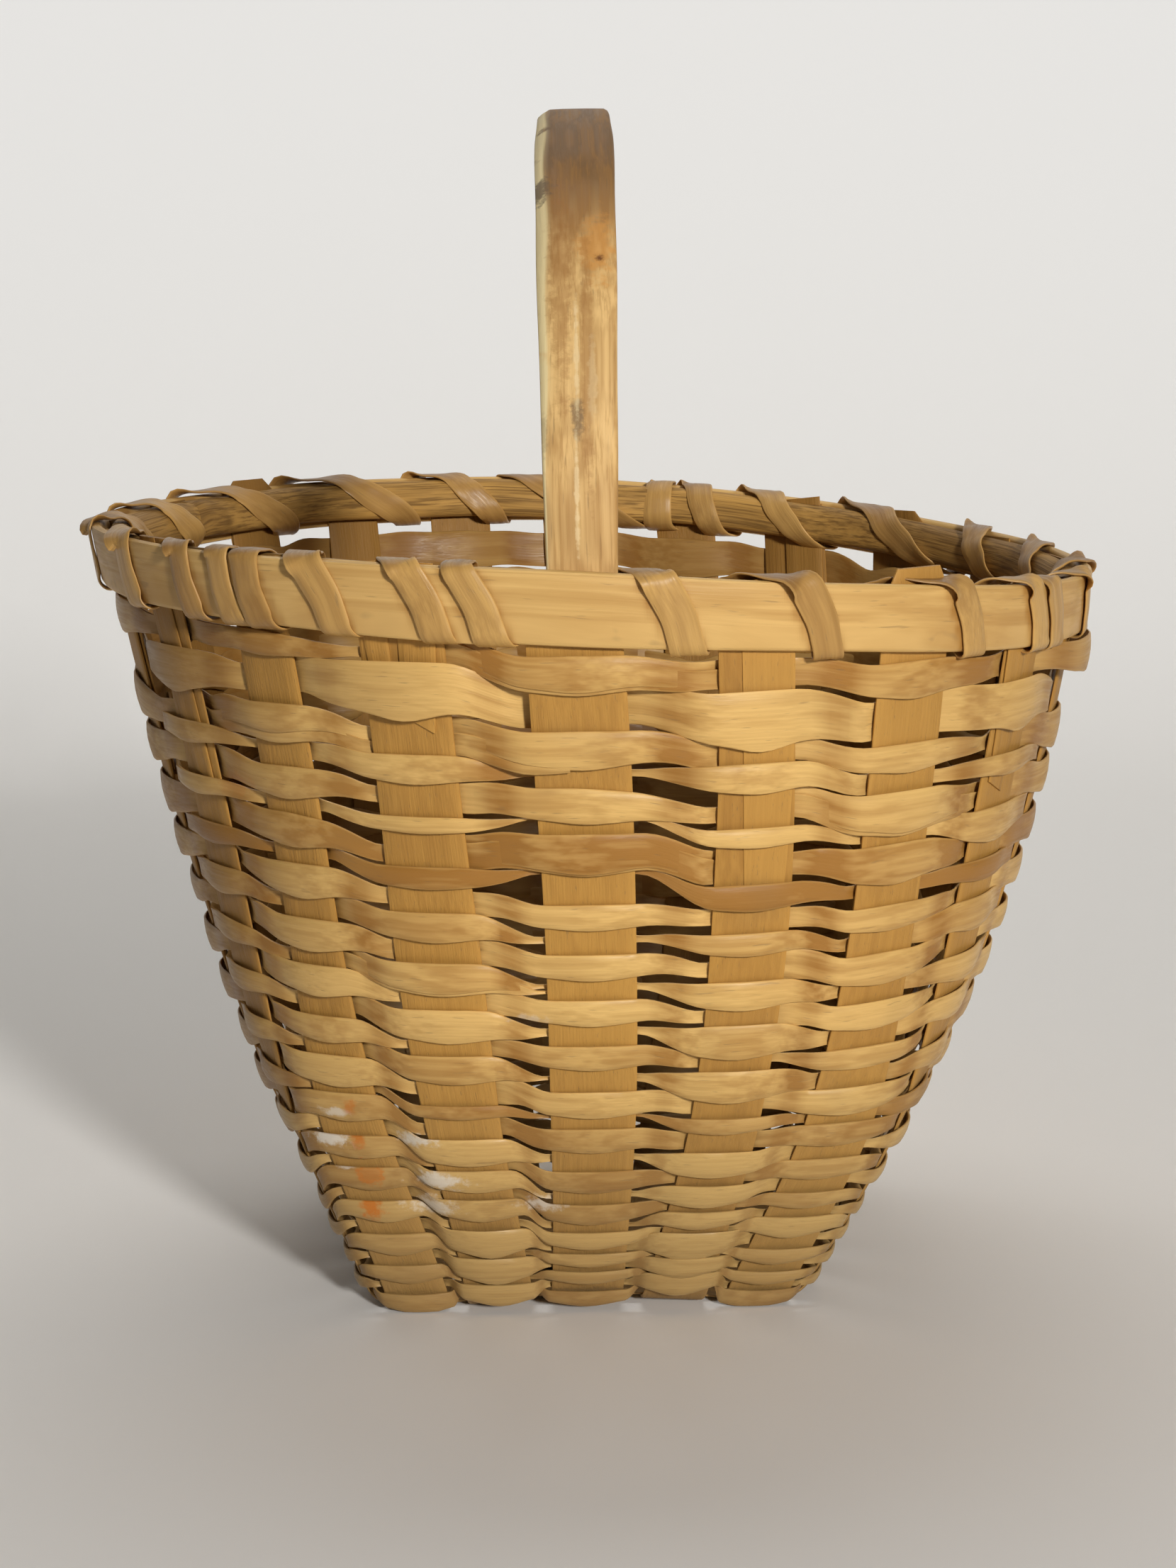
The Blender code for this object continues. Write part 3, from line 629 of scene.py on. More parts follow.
def splice(number, shift, end_shift, width, depth, layer, thick, rng):
    """Short second layer of an upright, cut slantwise at its lower end."""
    q = np.linspace(0, 1, SPLICE_STEPS)
    centre, tangent, normal, _ = upright_frame(number, 1 - q * depth * MM / BASKET.body.height)
    stand = (BASKET.splints.thickness + thick * MM) / 2 + SPLICE_GAP
    aside = mix(shift, end_shift, q) * MM
    centre = centre + tangent * aside[:, None] + normal * layer * stand
    heading = headings(centre)
    half = width * MM / 2 * (1 - 0.25 * q**3)
    made = ribbon(
        centre, square_to(heading, tangent), normal, half, half, thick * MM,
        tone=rng.normal(-0.6, 0.3),
    )
    slant = made["across"] / (width * MM) * SPLICE_CUT
    made["corners"] += heading[:, None] * (slant * (q**4)[:, None])[..., None]
    return made


class BASKET_OT_splints(bpy.types.Operator):
    """Ten base splints plaited over and under each other, turned up as twenty uprights"""

    bl_idname = "basket.splints"
    bl_label = "Base splints"

    def execute(self, context):
        per_side, total = BASKET.splints.per_side, uprights()
        finish = splint_wood()
        rng = np.random.default_rng(31)
        for row in range(per_side):
            place = row - per_side // 2
            lifts = 1 - 2 * ((row + np.arange(per_side)) % 2)
            for way, ends, across, sign in (
                ("front_back", (place, total // 2 - place), (-1.0, 0.0, 0.0), 1),
                ("side_side", (total - per_side - place, per_side + place), (0.0, 1.0, 0.0), -1),
            ):
                ends = [end % total for end in ends]
                strips = [base_splint(*ends, np.array(across), sign * lifts, rng)]
                strips += [splice(*each, rng) for each in SPLICES if each[0] in ends]
                node = f"base_splint_{way}_{row + 1}"
                make_piece(f"{way}_splint_{row + 1}", strips, finish, "splint", node)
        return {"FINISHED"}


# Weavers


# Steps from one knot to the next. A cell's knots stand at its upright's near edge, middle and
# far edge, and halfway to the next upright.
STEPS = 4
# Picture rows of the upper and lower edge of each arc over the uprights seen from the front, as read
# from the picture, from the top one down. Three are set off what was read: the first of 19, the
# second of 18, whose second strand is left out, and the last of 3.
ARC_ROWS = {
    17: ((902.5, 970), (1010, 1042.5), (1087.5, 1115), (1155, 1185), (1215, 1255), (1290, 1322.5)),
    18: ((885, 920), (985, 1028), (1075, 1122.5), (1140, 1190), (1212.5, 1262.5), (1290, 1337.5),
         (1355, 1400), (1427.5, 1465), (1482.5, 1527.5), (1535, 1575), (1595, 1627.5),
         (1640, 1672.5), (1687.5, 1717.5), (1735, 1765), (1780, 1805), (1820, 1852.5)),
    19: ((924, 1009), (1060, 1102.5), (1149, 1172.5), (1219, 1251), (1282.5, 1325), (1352.5, 1396),
         (1420, 1467.5), (1485, 1525), (1556.5, 1575), (1602.5, 1640), (1647.5, 1677.5),
         (1687.5, 1717.5), (1730, 1767.5), (1770, 1805), (1807.5, 1836)),
    0: ((920, 972.5), (1026.5, 1081.5), (1106, 1157.5), (1170, 1227.5), (1272.5, 1309),
        (1342.5, 1379), (1406.5, 1442.5), (1471.5, 1505), (1536, 1572.5), (1588.5, 1621.5),
        (1648.5, 1677.5), (1695, 1721.5), (1735, 1757.5), (1765, 1782.5), (1789, 1805),
        (1817.5, 1836.5)),
    1: ((967.5, 1052.5), (1072.5, 1115), (1164, 1191.5), (1242.5, 1280), (1312.5, 1344),
        (1380, 1420), (1441.5, 1489), (1506, 1550), (1574, 1595), (1621.5, 1656), (1668.5, 1697.5),
        (1706, 1729), (1735, 1772.5), (1770, 1796), (1792.5, 1820)),
    2: ((930, 980), (1045, 1085), (1110, 1167.5), (1185, 1241), (1272.5, 1307.5), (1339, 1382.5),
        (1407.5, 1445), (1472.5, 1501.5), (1527.5, 1565), (1579, 1610), (1630, 1657.5),
        (1677.5, 1698.5), (1712.5, 1740), (1757.5, 1777.5), (1789, 1806), (1815, 1841.5)),
    3: ((952.5, 1022.5), (1057.5, 1087.5), (1132.5, 1180), (1205, 1235), (1260, 1305),
        (1337.5, 1375), (1394.5, 1429.5)),
}
# The arcs under those, which the picture shows too narrowly to read: estimated lift off the
# row's even height, and height, in millimetres, from the highest down.
LOW_ARCS = {
    17: ((3.6, 6.5), (4, 6.5), (4.5, 6), (5, 6.5), (5.5, 6.5), (5, 6), (4, 6), (2.5, 6), (1, 5.5)),
    3: ((-1.5, 7), (-1, 6.5), (0.5, 6.5), (2, 6), (2.5, 5.5), (1.5, 6), (0.5, 5.5), (0, 5.5)),
}
# Share of an arc's height kept where it goes behind the next upright, to its left and right.
ARC_ENDS = {17: (0.7, 0.5), 18: (0.8, 0.5), 19: (0.7, 0.22), 0: (0.75, 0.62), 1: (0.22, 0.58),
            2: (0.82, 0.5), 3: (0.7, 0.55)}
# Arcs that keep another share at both ends: row counted from the top, upright and share.
WIDE_ENDS = ((-2, 19, 0.66), (-2, 1, 0.64), (-3, 0, 0.7))
# Crossings behind the front's middle upright that stand higher: row and millimetres.
HIGH_CROSSINGS = {13: 1, 23: 3, 25: 2}
# Uprights beside the front ones that take on a share of their lifts.
FADING_LIFTS = ((4, 3, 0.55), (5, 3, 0.25), (16, 17, 0.6), (15, 17, 0.3))
# Uprights whose arcs are hidden from the front, and fill their room more evenly.
BEHIND = range(6, 15)
# Row from which the arcs fill more of their room, and upright of the top row's loose arc.
BROADER_FROM, PROUD_AT = 23, 4
# Share of their room that arcs out of sight fill: in lower rows, in upper rows and behind.
LOW_FILL, HIGH_FILL, FILL_BEHIND = 0.66, 0.75, 0.82
# Spread of the lifts out of sight, and how much higher the strip round the bend crosses.
LIFT_SPREAD, BEND_LIFT = 0.5 * MM, 3.2 * MM
# Room that a weaver keeps past a handle tail, past a second layer of an upright and, for the
# strip round the bend, behind an upright.
TAIL_ROOM, SPLICE_ROOM, BEND_ROOM = 1.0 * MM, 0.85 * MM, 1.5 * MM
# How far below the end of a tail or of a second layer that room is still kept.
BELOW_TAIL, BELOW_SPLICE = 5 * MM, 3 * MM
# Share of an arc's height left at its upright's edges, and share of that over the path, on the
# wall and near the ground.
SHOULDERS, SAGS = (0.86, 0.74), (0.49, 0.6)
# Top row's upper edge: its gain behind, its limit in front, and what the limit gains behind.
TOP_GAIN, TOP_LIMIT, LIMIT_GAIN = 1.7 * MM, 4.6 * MM, 1.6 * MM
# A lap's stand off the first layer in thicknesses, and the width it loses on the way and at its
# end. Cells over which it sets in, and over which its end narrows.
LAP_STAND, LAP_LOSS, END_LOSS, LAP_EASE, END_EASE = 1.1, 0.14, 0.5, 0.7, 0.4
# Rise of a strip's middle over its edges, and how far its upper edge leans in: everywhere, and
# how much more where it passes outside.
STRIP_CUP, STRIP_LEAN, MORE_LEAN = 0.5 * MM, 0.22 * MM, 0.12 * MM
# Laps seen from the front: row, first upright, cells lapped, and drop of the second strand in
# millimetres.
SEEN_LAPS = {27: (17, 3.3, 3.4), 29: (19, 2.4, 1.6), 23: (19, 2.3, 1.4), 25: (1, 2.3, 1.8),
             18: (18, 2.3, 1.5)}


def weaver_levels():
    """Even height of each row's middle: the pitch eases from low to high, then two wide rows."""
    w = BASKET.weavers
    levels = [w.first_level]
    while levels[-1] + w.high_pitch + 2 * w.wide_pitch <= w.top_level or len(levels) % 2:
        eased = smooth((len(levels) - 1 - w.low_rows) / w.easing_rows)
        levels.append(levels[-1] + mix(w.low_pitch, w.high_pitch, float(eased)))
    return np.array([w.foot_level, *levels, (levels[-1] + w.top_level) / 2, w.top_level])


def front_arcs(number, levels):
    """Lift off its row's level, and height, of each arc over an upright, from the top one down.

    An edge stands as high as the point of the upright's middle line that the picture shows in
    the edge's row.
    """
    t = np.linspace(0, 1.02, SIGHT_STEPS)
    shown = picture_row(upright_frame(number, t)[0])
    top, bottom = np.interp(-np.transpose(ARC_ROWS[number]), -shown, t) * BASKET.body.height
    read = stacked((top + bottom) / 2 - levels[:len(top)], top - bottom)
    return np.append(read, np.array(LOW_ARCS.get(number, ())).reshape(-1, 2) * MM, axis=0)


def arc_tables(levels, rng):
    """Lift and arc height of every row at every upright, in metres, and the kept end shares.

    The front ones come from ARC_ROWS and LOW_ARCS. The lifts fade out over two more uprights on
    each side, rows between two arcs take their mean, and other heights are drawn about their
    share of the room.
    """
    size = len(levels), uprights()
    rows, numbers = np.indices(size)
    over = (rows + numbers) % 2 == 0
    lift = rng.normal(0, LIFT_SPREAD, size)
    room = np.gradient(levels)[:, None] * 2
    fill = np.where(rows < BROADER_FROM, LOW_FILL, HIGH_FILL)
    tall = room * fill * rng.normal(1, 0.11, size).clip(0.7, 1.3)
    ends = np.stack([rng.normal(kept, 0.12, size) for kept in (0.82, 0.66)])
    behind = np.isin(numbers, BEHIND)
    tall = np.where(behind, np.maximum(tall, room * FILL_BEHIND), tall)
    ends = np.where(behind, np.maximum(ends, 0.9), ends)
    lift = np.where(behind, 0.5 * lift, lift)
    for number, kept in ARC_ENDS.items():
        seen = np.flatnonzero(over[:, number])[::-1]
        lift[seen, number], tall[seen, number] = front_arcs(number, levels[seen]).T
        ends[:, :, number] = np.array(kept)[:, None] * rng.normal(1, 0.2, (2, size[0]))
    hidden = ~np.isin(numbers[0], list(ARC_ENDS))
    tall[-2, hidden], tall[-1, hidden] = BASKET.weavers.wide_width, BASKET.weavers.top_width
    for row, number, kept in WIDE_ENDS:
        ends[:, row, number] = kept
    padded = np.pad(lift, ((1, 1), (0, 0)), "edge")
    lift = np.where(over, lift, (padded[:-2] + padded[2:]) / 2)
    for row, higher in HIGH_CROSSINGS.items():
        lift[row, 0] += higher * MM
    for beside, by, kept in FADING_LIFTS:
        lift[:, beside] = mix(lift[:, beside], lift[:, by], kept)
    lift[0] += np.where(over[0], 0, BEND_LIFT)
    return over, lift, tall, ends.clip(0.12, 0.98)


def standing_off(over, drop, lowest, top_row):
    """How far a row's middle stands off the uprights' middles: half of both thicknesses and more.

    It keeps room for a handle tail, for a second layer of an upright and for the strip round
    the bend, and one arc of the top row stands proud.
    """
    w, s, handle = BASKET.weavers, BASKET.splints, BASKET.handle
    at_tail = np.isin(np.arange(uprights()), (0, uprights() // 2)) & ~over
    at_tail = at_tail & (drop < handle.tail_length + BELOW_TAIL)
    thick = mix(handle.tail_thickness, handle.tip_thickness, np.clip(drop / handle.tail_length, 0, 1))
    clear = (s.thickness + w.thickness) / 2 + w.clearance + np.where(at_tail, thick + TAIL_ROOM, 0)
    for number, _, _, _, depth, layer, _ in SPLICES:
        if (layer > 0) == over[number] and drop[number] < depth * MM + BELOW_SPLICE:
            clear[number] += SPLICE_ROOM
    if lowest:
        clear = clear + np.where(over, 0, BEND_ROOM)
    if top_row:
        clear[PROUD_AT] += w.proud
    return clear


def row_path(height, sign, clear, rng):
    """Centre, up and out along one row, for each upright's cell.

    Over an upright the strip bows along its face as a parabola. From one upright to the next it
    follows a cubic Hermite curve that goes on in the parabolas' directions.
    """
    w, numbers, t = BASKET.weavers, np.arange(uprights()), height / BASKET.body.height
    centre, tangent, normal, rise = upright_frame(numbers, t)
    half = (upright_width(numbers, t) / 2 + w.overhang)[:, None]
    bulge = (mix(w.low_bulge, w.bulge, t) * rng.uniform(0.6, 1.2, len(numbers)) * sign)[:, None]
    middle = centre + normal * (sign * clear)[:, None]
    q = np.arange(2 * STEPS) / STEPS - 1
    flat = middle[:, None] + tangent[:, None] * (q * half)[..., None]
    flat = flat + normal[:, None] * (bulge * (1 - q**2))[..., None]
    start, end = middle + tangent * half, np.roll(middle - tangent * half, -1, 0)
    dive = normal * 2 * bulge / half
    pull = np.linalg.norm(end - start, axis=-1, keepdims=True)
    q = (np.arange(2 * STEPS) / (2 * STEPS))[:, None]
    hermite = (
        (2 * q**3 - 3 * q**2 + 1) * start[:, None]
        + (q**3 - 2 * q**2 + q) * ((tangent - dive) * pull)[:, None]
        + (3 * q**2 - 2 * q**3) * end[:, None]
        + (q**3 - q**2) * (np.roll(tangent + dive, -1, 0) * pull)[:, None]
    )
    weight = np.concatenate([np.zeros(2 * STEPS), smooth(q[:, 0])])[None, :, None]
    up, out = [mix(way[:, None], np.roll(way, -1, 0)[:, None], weight) for way in (rise, normal)]
    return np.concatenate([flat, hermite], axis=1), up, unit(out)


def row_edges(row, levels, over, tall, ends, rng):
    """Heights of one row over and under its path, at the four knots of each upright's cell.

    A knot's height is a share of the arc's own over an upright, and of the arcs' kept ends at a
    crossing. Near the ground the arcs are lenses that sag between pointed ends.
    """
    before, after = np.roll(tall, 1), np.roll(tall, -1)
    low_down = 1 - smooth((levels[row] - BASKET.weavers.lens_below) / (40 * MM))
    left, right = mix(ends, np.minimum(ends, 0.3), low_down)
    left_after = np.roll(left, -1)
    shoulder, sagging = mix(*SHOULDERS, low_down), mix(*SAGS, low_down)
    knots = np.stack([
        np.where(over, shoulder * tall, np.roll(right, 1) * before),
        np.where(over, tall, 0.95 * np.gradient(levels)[row]),
        np.where(over, shoulder * tall, left_after * after),
        np.where(over, (0.42 + 0.5 * right) * tall, (0.42 + 0.5 * left_after) * after),
    ], axis=1)
    split = np.where(over[:, None], [sagging, 0.43, sagging, 0], 0.5)
    split[:, 3] = np.where(over & (right < 0.35), 0.42, rng.uniform(0.48, 0.62, len(over)))
    split[:, 3] = mix(split[:, 3], 0.72, low_down)
    pointed = rng.uniform(0.34, 0.68, (len(over), 2))
    split[:, [0, 2]] = np.where(over[:, None], split[:, [0, 2]], pointed)
    tops, lows = knots * split, knots * (1 - split)
    if row + 1 == len(levels):
        behind = 1 - np.cos(rim_azimuth(np.arange(len(over))))[:, None]
        tops = np.minimum(tops + TOP_GAIN * behind, TOP_LIMIT + LIMIT_GAIN * behind)
    return lows, tops


def weaver_cells(row, levels, tables, rng):
    """Path, up, out, heights under and over the path, and side of one row, in each cell.

    The side is 1 outside an upright, -1 inside and 0 at a crossing. It and the heights pass
    smoothly through their knots.
    """
    body = BASKET.body
    over, lift, tall, ends = (table[..., row, :] for table in tables)
    height = levels[row] + lift * body.height / rim_height(rim_azimuth(np.arange(uprights())))
    sign = np.where(over, 1.0, -1.0)
    clear = standing_off(over, body.height - height, row == 0, row + 1 == len(levels))
    path, up, out = row_path(height, sign, clear, rng)
    knots = *row_edges(row, levels, over, tall, ends, rng), sign[:, None] * [1, 1, 1, 0]
    lows, tops, sides = [through(each.ravel(), STEPS).reshape(len(over), -1) for each in knots]
    return path, up, out, np.minimum(lows, path[..., 2] - BASKET.weavers.off_ground), tops, sides


def weaver(row, levels, tables, rng):
    """Strip that starts behind an upright, goes all the way round and laps two more cells.

    Where it laps itself, the later layer lies outside, or inside if the lap is a seen one.
    """
    thick, total = BASKET.weavers.thickness, uprights()
    cells = weaver_cells(row, levels, tables, rng)
    hidden = 2 * int(rng.integers(4, 8)) + (row + 1) % 2
    first, lapped, slip = SEEN_LAPS.get(row - 1, (hidden, 2.4, rng.uniform(-1, 2)))
    slip = (slip if row > 1 else min(slip, 0.0)) * MM
    order = (first + np.arange(total + math.ceil(lapped) + 1)) % total
    steps = 4 * STEPS
    kept = slice(STEPS, int((total + lapped) * steps))
    index = (np.arange(len(order) * steps) / steps)[kept]
    path, up, out = [a[order].reshape(-1, 3)[kept] for a in cells[:3]]
    low, top, side = [a[order].reshape(-1)[kept] for a in cells[3:]]
    lap = smooth((index - (total - 0.9)) / LAP_EASE)
    outer = smooth((lapped - index) / END_EASE) if row - 1 in SEEN_LAPS else lap
    path = path + out * (side * outer * thick * LAP_STAND)[:, None] - up * (slip * lap)[:, None]
    end = smooth((index - total - lapped) / END_EASE + 1)
    narrow = (1 - LAP_LOSS * lap) * (1 - END_LOSS * end)
    tone = rng.normal(0, 0.5) + wobble(index, rng, [(0.22, 3.1), (0.16, 1.3)])
    return ribbon(
        path, up, out, low * narrow, top * narrow, thick,
        cup=side * STRIP_CUP * np.abs(side), tilt=-(STRIP_LEAN + MORE_LEAN * side), tone=tone,
        # Painted shade, with some dirt, where the strip goes behind an upright.
        tuck=1 - smooth(np.abs(side) * 1.2 - 0.1),
    )


class BASKET_OT_weavers(bpy.types.Operator):
    """Thirty separate weavers, and a narrow strip round the bend, over and under the uprights"""

    bl_idname = "basket.weavers"
    bl_label = "Weavers"

    def execute(self, context):
        finish, levels, seed = weaver_wood(), weaver_levels(), BASKET.weavers.seed
        tables = arc_tables(levels, np.random.default_rng(seed))
        strips = [
            weaver(row, levels, tables, np.random.default_rng([seed, row]))
            for row in range(len(levels))
        ]
        # The narrow strip round the bend belongs with the lowest weaver.
        for row in range(1, len(strips)):
            piece = strips[:2] if row == 1 else [strips[row]]
            make_piece(f"weaver_{row:02d}", piece, finish, "weaver", f"weaver_row_{row:02d}")
        return {"FINISHED"}


# Rim

HOOP_STEPS, INNER_STEPS, TURN_STEPS = 1500, 520, 60
# Round corners of the outer hoop, reach of the painted contact shade and dirt beside the lashing, and
# way over which the inner hoop's cut end grows to its full thickness.
HOOP_CORNER, SHADE_AND_DIRT_REACH, INNER_CUT = 1.2 * MM, 1.1 * MM, 7 * MM
# How much farther than a tail the inner hoop stands in on each side, and eases back over.
PAST_TAIL, TAIL_EASE = 6 * MM, 22 * MM
# Paleness of the outer hoop's corners, painted highlight and wear, in the order of its outline.
HOOP_EDGES = np.array([1, 1, 0.8, 0, 0, 0.8, 1, 1, 1, 1, 0.8, 0, 0, 0.8, 1, 1.0])
# Azimuth in degrees at which each turn of the lashing crosses the outer hoop's face. Turns that
# stand close together are the doubled ones.
LASHING_TURNS = (
    7.5, 22.5, 42.0, 55.0, 59.5, 73.0, 92.0, 109.0, 123.5, 145.0, 159.5, 167.5, 171.5,
    192.0, 205.0, 225.0, 245.0, 263.0, 281.0, 299.5, 312.5, 319.0, 323.0, 331.5, 342.5, 348.0,
)
# Share of the way round at which a turn has come over the top. Two wait until past the handle.
OVER_AT, LATE_TURNS = 0.6, {12: 0.92, 25: 0.9}
# Travel under the hoops as a share of the slant, and share of the slant kept on the left, where
# the sine of the azimuth, moved on by an angle, is under a limit.
UNDER_SHARE, LEFT_SHARE, LEFT_MOVED, LEFT_LIMIT = 0.8, 0.4, 0.25, -0.3
# How far the lashing's middle stands off the outer hoop's face and lower edge and off the inner
# hoop, and angle past the scarf over which it still stands out.
OFF_FACE, OFF_EDGE, OFF_INNER, PAST_SCARF = 0.55 * MM, 0.6 * MM, 0.5 * MM, 0.03
# Where the spiral starts on its first turn and ends past its last, and half the reach of the
# running mean, in turns.
SPIRAL_START, SPIRAL_END, ROUNDING = 0.56, 0.54, 0.045
# Shares of a turn at the corners of the rim's outline, from the top of the outer face.
LASHING_CORNERS = np.array([0.0, 0.18, 0.36, 0.44, 0.52, 0.60, 0.74, 0.86, 1.0])


def rim_point(azimuth, offset, drop):
    """Point at an offset from the wall's middle and a depth below the rim's top edge."""
    t = 1 - drop / rim_height(azimuth)
    point = outward(azimuth) * (wall_radius(t) + offset)[..., None] + wall_middle(t)
    point[..., 2] = rim_height(azimuth) - drop
    return point


def around_rim(azimuth, outline, tone, tuck=0.0, edge=0.0):
    """Closed strip of (offset, drop) corners carried round the rim: corners in columns."""
    azimuth = azimuth.reshape(len(azimuth), -1)
    sides = [np.diff(part, axis=1, append=part[:, :1]) for part in outline]
    return strip_of(
        rim_point(azimuth, *outline), along=azimuth * BASKET.body.top_radius,
        across=np.cumsum(np.hypot(*sides), axis=1), edge=edge, tone=tone[:, None], tuck=tuck,
    )


def outer_height(azimuth):
    """The hoop is shaved narrower towards the back."""
    return mix(BASKET.rim.outer_height, BASKET.rim.outer_height_back, (1 - np.cos(azimuth)) / 2)


def scarf_bulge(azimuth):
    """How far the outer hoop stands out over its scarf."""
    rim = BASKET.rim
    lap = rim.scarf_length / BASKET.body.top_radius
    past = (azimuth - rim.scarf_at) % TURN
    return (rim.scarf_tip + rim.scarf_gap) * np.where(past < lap, 1, smooth((past - TURN) / lap + 1))


def lashing_near(azimuth, drop, height):
    """Distance along the hoop from the nearest turn of the lashing on the outer face."""
    slant = BASKET.rim.lashing_slant * (2 * drop / height - 1)[..., None]
    away = wrapped(azimuth[..., None] - np.radians(LASHING_TURNS) - slant)
    return np.abs(away).min(axis=-1) * BASKET.body.top_radius


def tail_bulge(azimuth):
    """How far the inner hoop stands in to pass a handle tail."""
    handle, radius = BASKET.handle, BASKET.body.top_radius
    full, ease = (handle.tail_width / 2 + PAST_TAIL) / radius, TAIL_EASE / radius
    away = np.abs(wrapped(azimuth[..., None] - rim_azimuth([0, uprights() // 2]))).min(axis=-1)
    return (1 - smooth((away - full) / ease)) * (handle.tail_thickness + handle.gap)


def hoop_outline(low, high, top, bottom, radius):
    """Rectangle with round corners as columns of offset and drop, for each azimuth.

    Each corner is a quarter circle about a centre that stands in from it by the radius. Each
    tall side has two more columns, so that the hoop's faces can wave.
    """
    radius = np.minimum(radius, (high - low) * 0.45)
    quarter = np.linspace(0, QUARTER, 3)
    corners = []
    for number, (across, down) in enumerate((
        (high - radius, top + radius), (high - radius, bottom - radius),
        (low + radius, bottom - radius), (low + radius, top + radius),
    )):
        turned = number * QUARTER + quarter
        corners.append(np.stack([
            across[:, None] + radius[:, None] * np.sin(turned),
            down[:, None] - radius[:, None] * np.cos(turned),
        ]))
    one, two, three, four = corners
    outer, inner = [
        mix(here[..., -1:], there[..., :1], np.array([0.33, 0.67]))
        for here, there in ((one, two), (three, four))
    ]
    return np.concatenate([one, outer, two, three, inner, four], axis=-1)


class BASKET_OT_hoops(bpy.types.Operator):
    """Flat outer hoop with a scarf, and half-round inner hoop with a lapped end"""

    bl_idname = "basket.hoops"
    bl_label = "Rim hoops"

    def execute(self, context):
        rng = np.random.default_rng(BASKET.rim.seed)
        make_piece("outer_hoop", [self.outer(rng)], hoop_wood(), "hoop", "rim_outer_hoop")
        make_piece("inner_hoop", [self.inner(rng)], inner_wood(), "inner_hoop", "rim_inner_hoop")
        return {"FINISHED"}

    def outer(self, rng):
        """Flat strip whose lapped end is cut along the turn of the lashing that covers it."""
        rim, radius = BASKET.rim, BASKET.body.top_radius
        lap = rim.scarf_length / radius
        travelled = np.linspace(0, TURN + lap, HOOP_STEPS)
        azimuth = rim.scarf_at + travelled
        started = np.clip(travelled / lap, 0, 1)
        last = np.clip((travelled - TURN) / lap, 0, 1)
        taper = rim.outer_thickness - rim.scarf_tip
        step = (rim.scarf_tip + rim.scarf_gap) * smooth((travelled - TURN) / lap + 1)
        near = rim.outer_offset + step + taper * last
        far = rim.outer_offset + step + rim.outer_thickness - taper * (1 - started)
        s = azimuth * radius
        top = wobble(s, rng, [(0.28 * MM, 0.23), (0.15 * MM, 0.09)]) + 0.1 * MM
        bottom = outer_height(azimuth) + wobble(s, rng, [(0.45 * MM, 0.31), (0.22 * MM, 0.12)])
        outline = hoop_outline(near, far, top, bottom, HOOP_CORNER)
        tone = wobble(s, rng, [(0.3, 0.5), (0.2, 0.17)])
        height = outer_height(azimuth)[:, None]
        cut = rim.lashing_slant * 0.7 * (2 * outline[1] / height - 1)
        azimuth = azimuth[:, None] + cut * (last**4)[:, None]
        beside = lashing_near(azimuth, outline[1], height) - rim.lashing_width / 2
        # Painted contact shade, with some dirt, beside each turn of the lashing.
        dirt = 0.9 * np.exp(-(np.maximum(beside, 0) / SHADE_AND_DIRT_REACH) ** 2)
        return around_rim(azimuth, outline, tone, dirt, HOOP_EDGES)

    def inner(self, rng):
        """Half-round strip, flat towards the wall, whose thin end laps its thick one."""
        rim, radius = BASKET.rim, BASKET.body.top_radius
        lap = rim.inner_lap / radius
        travelled = np.linspace(0, TURN + lap, INNER_STEPS)
        azimuth = rim.inner_start - travelled
        s = azimuth * radius
        end = smooth((travelled - (TURN - 0.4 * lap)) / lap)
        thick = rim.inner_thickness * (1 - 0.45 * end) + wobble(s, rng, [(0.3 * MM, 0.19)])
        thick = thick * mix(0.62, 1.0, smooth(travelled * radius / INNER_CUT))
        top = rim.inner_below + wobble(s, rng, [(0.35 * MM, 0.27), (0.2 * MM, 0.07)])
        top = top + 1.2 * MM * end
        low = top + rim.inner_height * (1 - 0.28 * end) + wobble(s, rng, [(0.4 * MM, 0.21)])
        top, low, thick = top[:, None], low[:, None], thick[:, None]
        back = (-rim.inner_offset - tail_bulge(azimuth))[:, None]
        turned = np.linspace(-QUARTER, QUARTER, 12)
        bow = np.abs(np.cos(turned)) ** 0.62
        rise = np.sign(np.sin(turned)) * np.abs(np.sin(turned)) ** 0.8
        drop = (top + low) / 2 + (low - top) / 2 * rise
        flat = mix(low, top, np.array([0.03, 0.35, 0.65, 0.97]))
        offset = np.concatenate([back - thick * (0.06 + 0.94 * bow), back + 0 * flat], 1)
        tone = wobble(s, rng, [(0.5, 0.4), (0.3, 0.15)]) - 0.5 * end
        return around_rim(azimuth, (offset, np.concatenate([drop, flat], 1)), tone)


def lashing_azimuths():
    """Azimuth at each corner of the spiral, which grows from corner to corner.

    On the left the lashing goes straight down before it slants, on the right the other way
    round.
    """
    slant, starts = BASKET.rim.lashing_slant, np.radians(LASHING_TURNS)
    late = np.array([LATE_TURNS.get(i, OVER_AT) for i in range(len(starts))])
    slants = np.where(np.sin(starts + LEFT_MOVED) < LEFT_LIMIT, LEFT_SHARE, 1.0) * slant
    begin, bottom = starts - slants, starts + slants
    under = bottom + UNDER_SHARE * slant
    half_down = starts + slants * np.where(slants < slant, -1.1, 0.4)
    over = mix(under, np.append(starts[1:], starts[0] + TURN) - slant, late)
    azimuth = np.stack([
        begin, half_down, bottom, mix(bottom, under, 0.5), under, mix(under, over, 0.2),
        mix(under, over, 0.75), over,
    ], axis=1)
    return np.append(azimuth.ravel(), begin[0] + TURN)


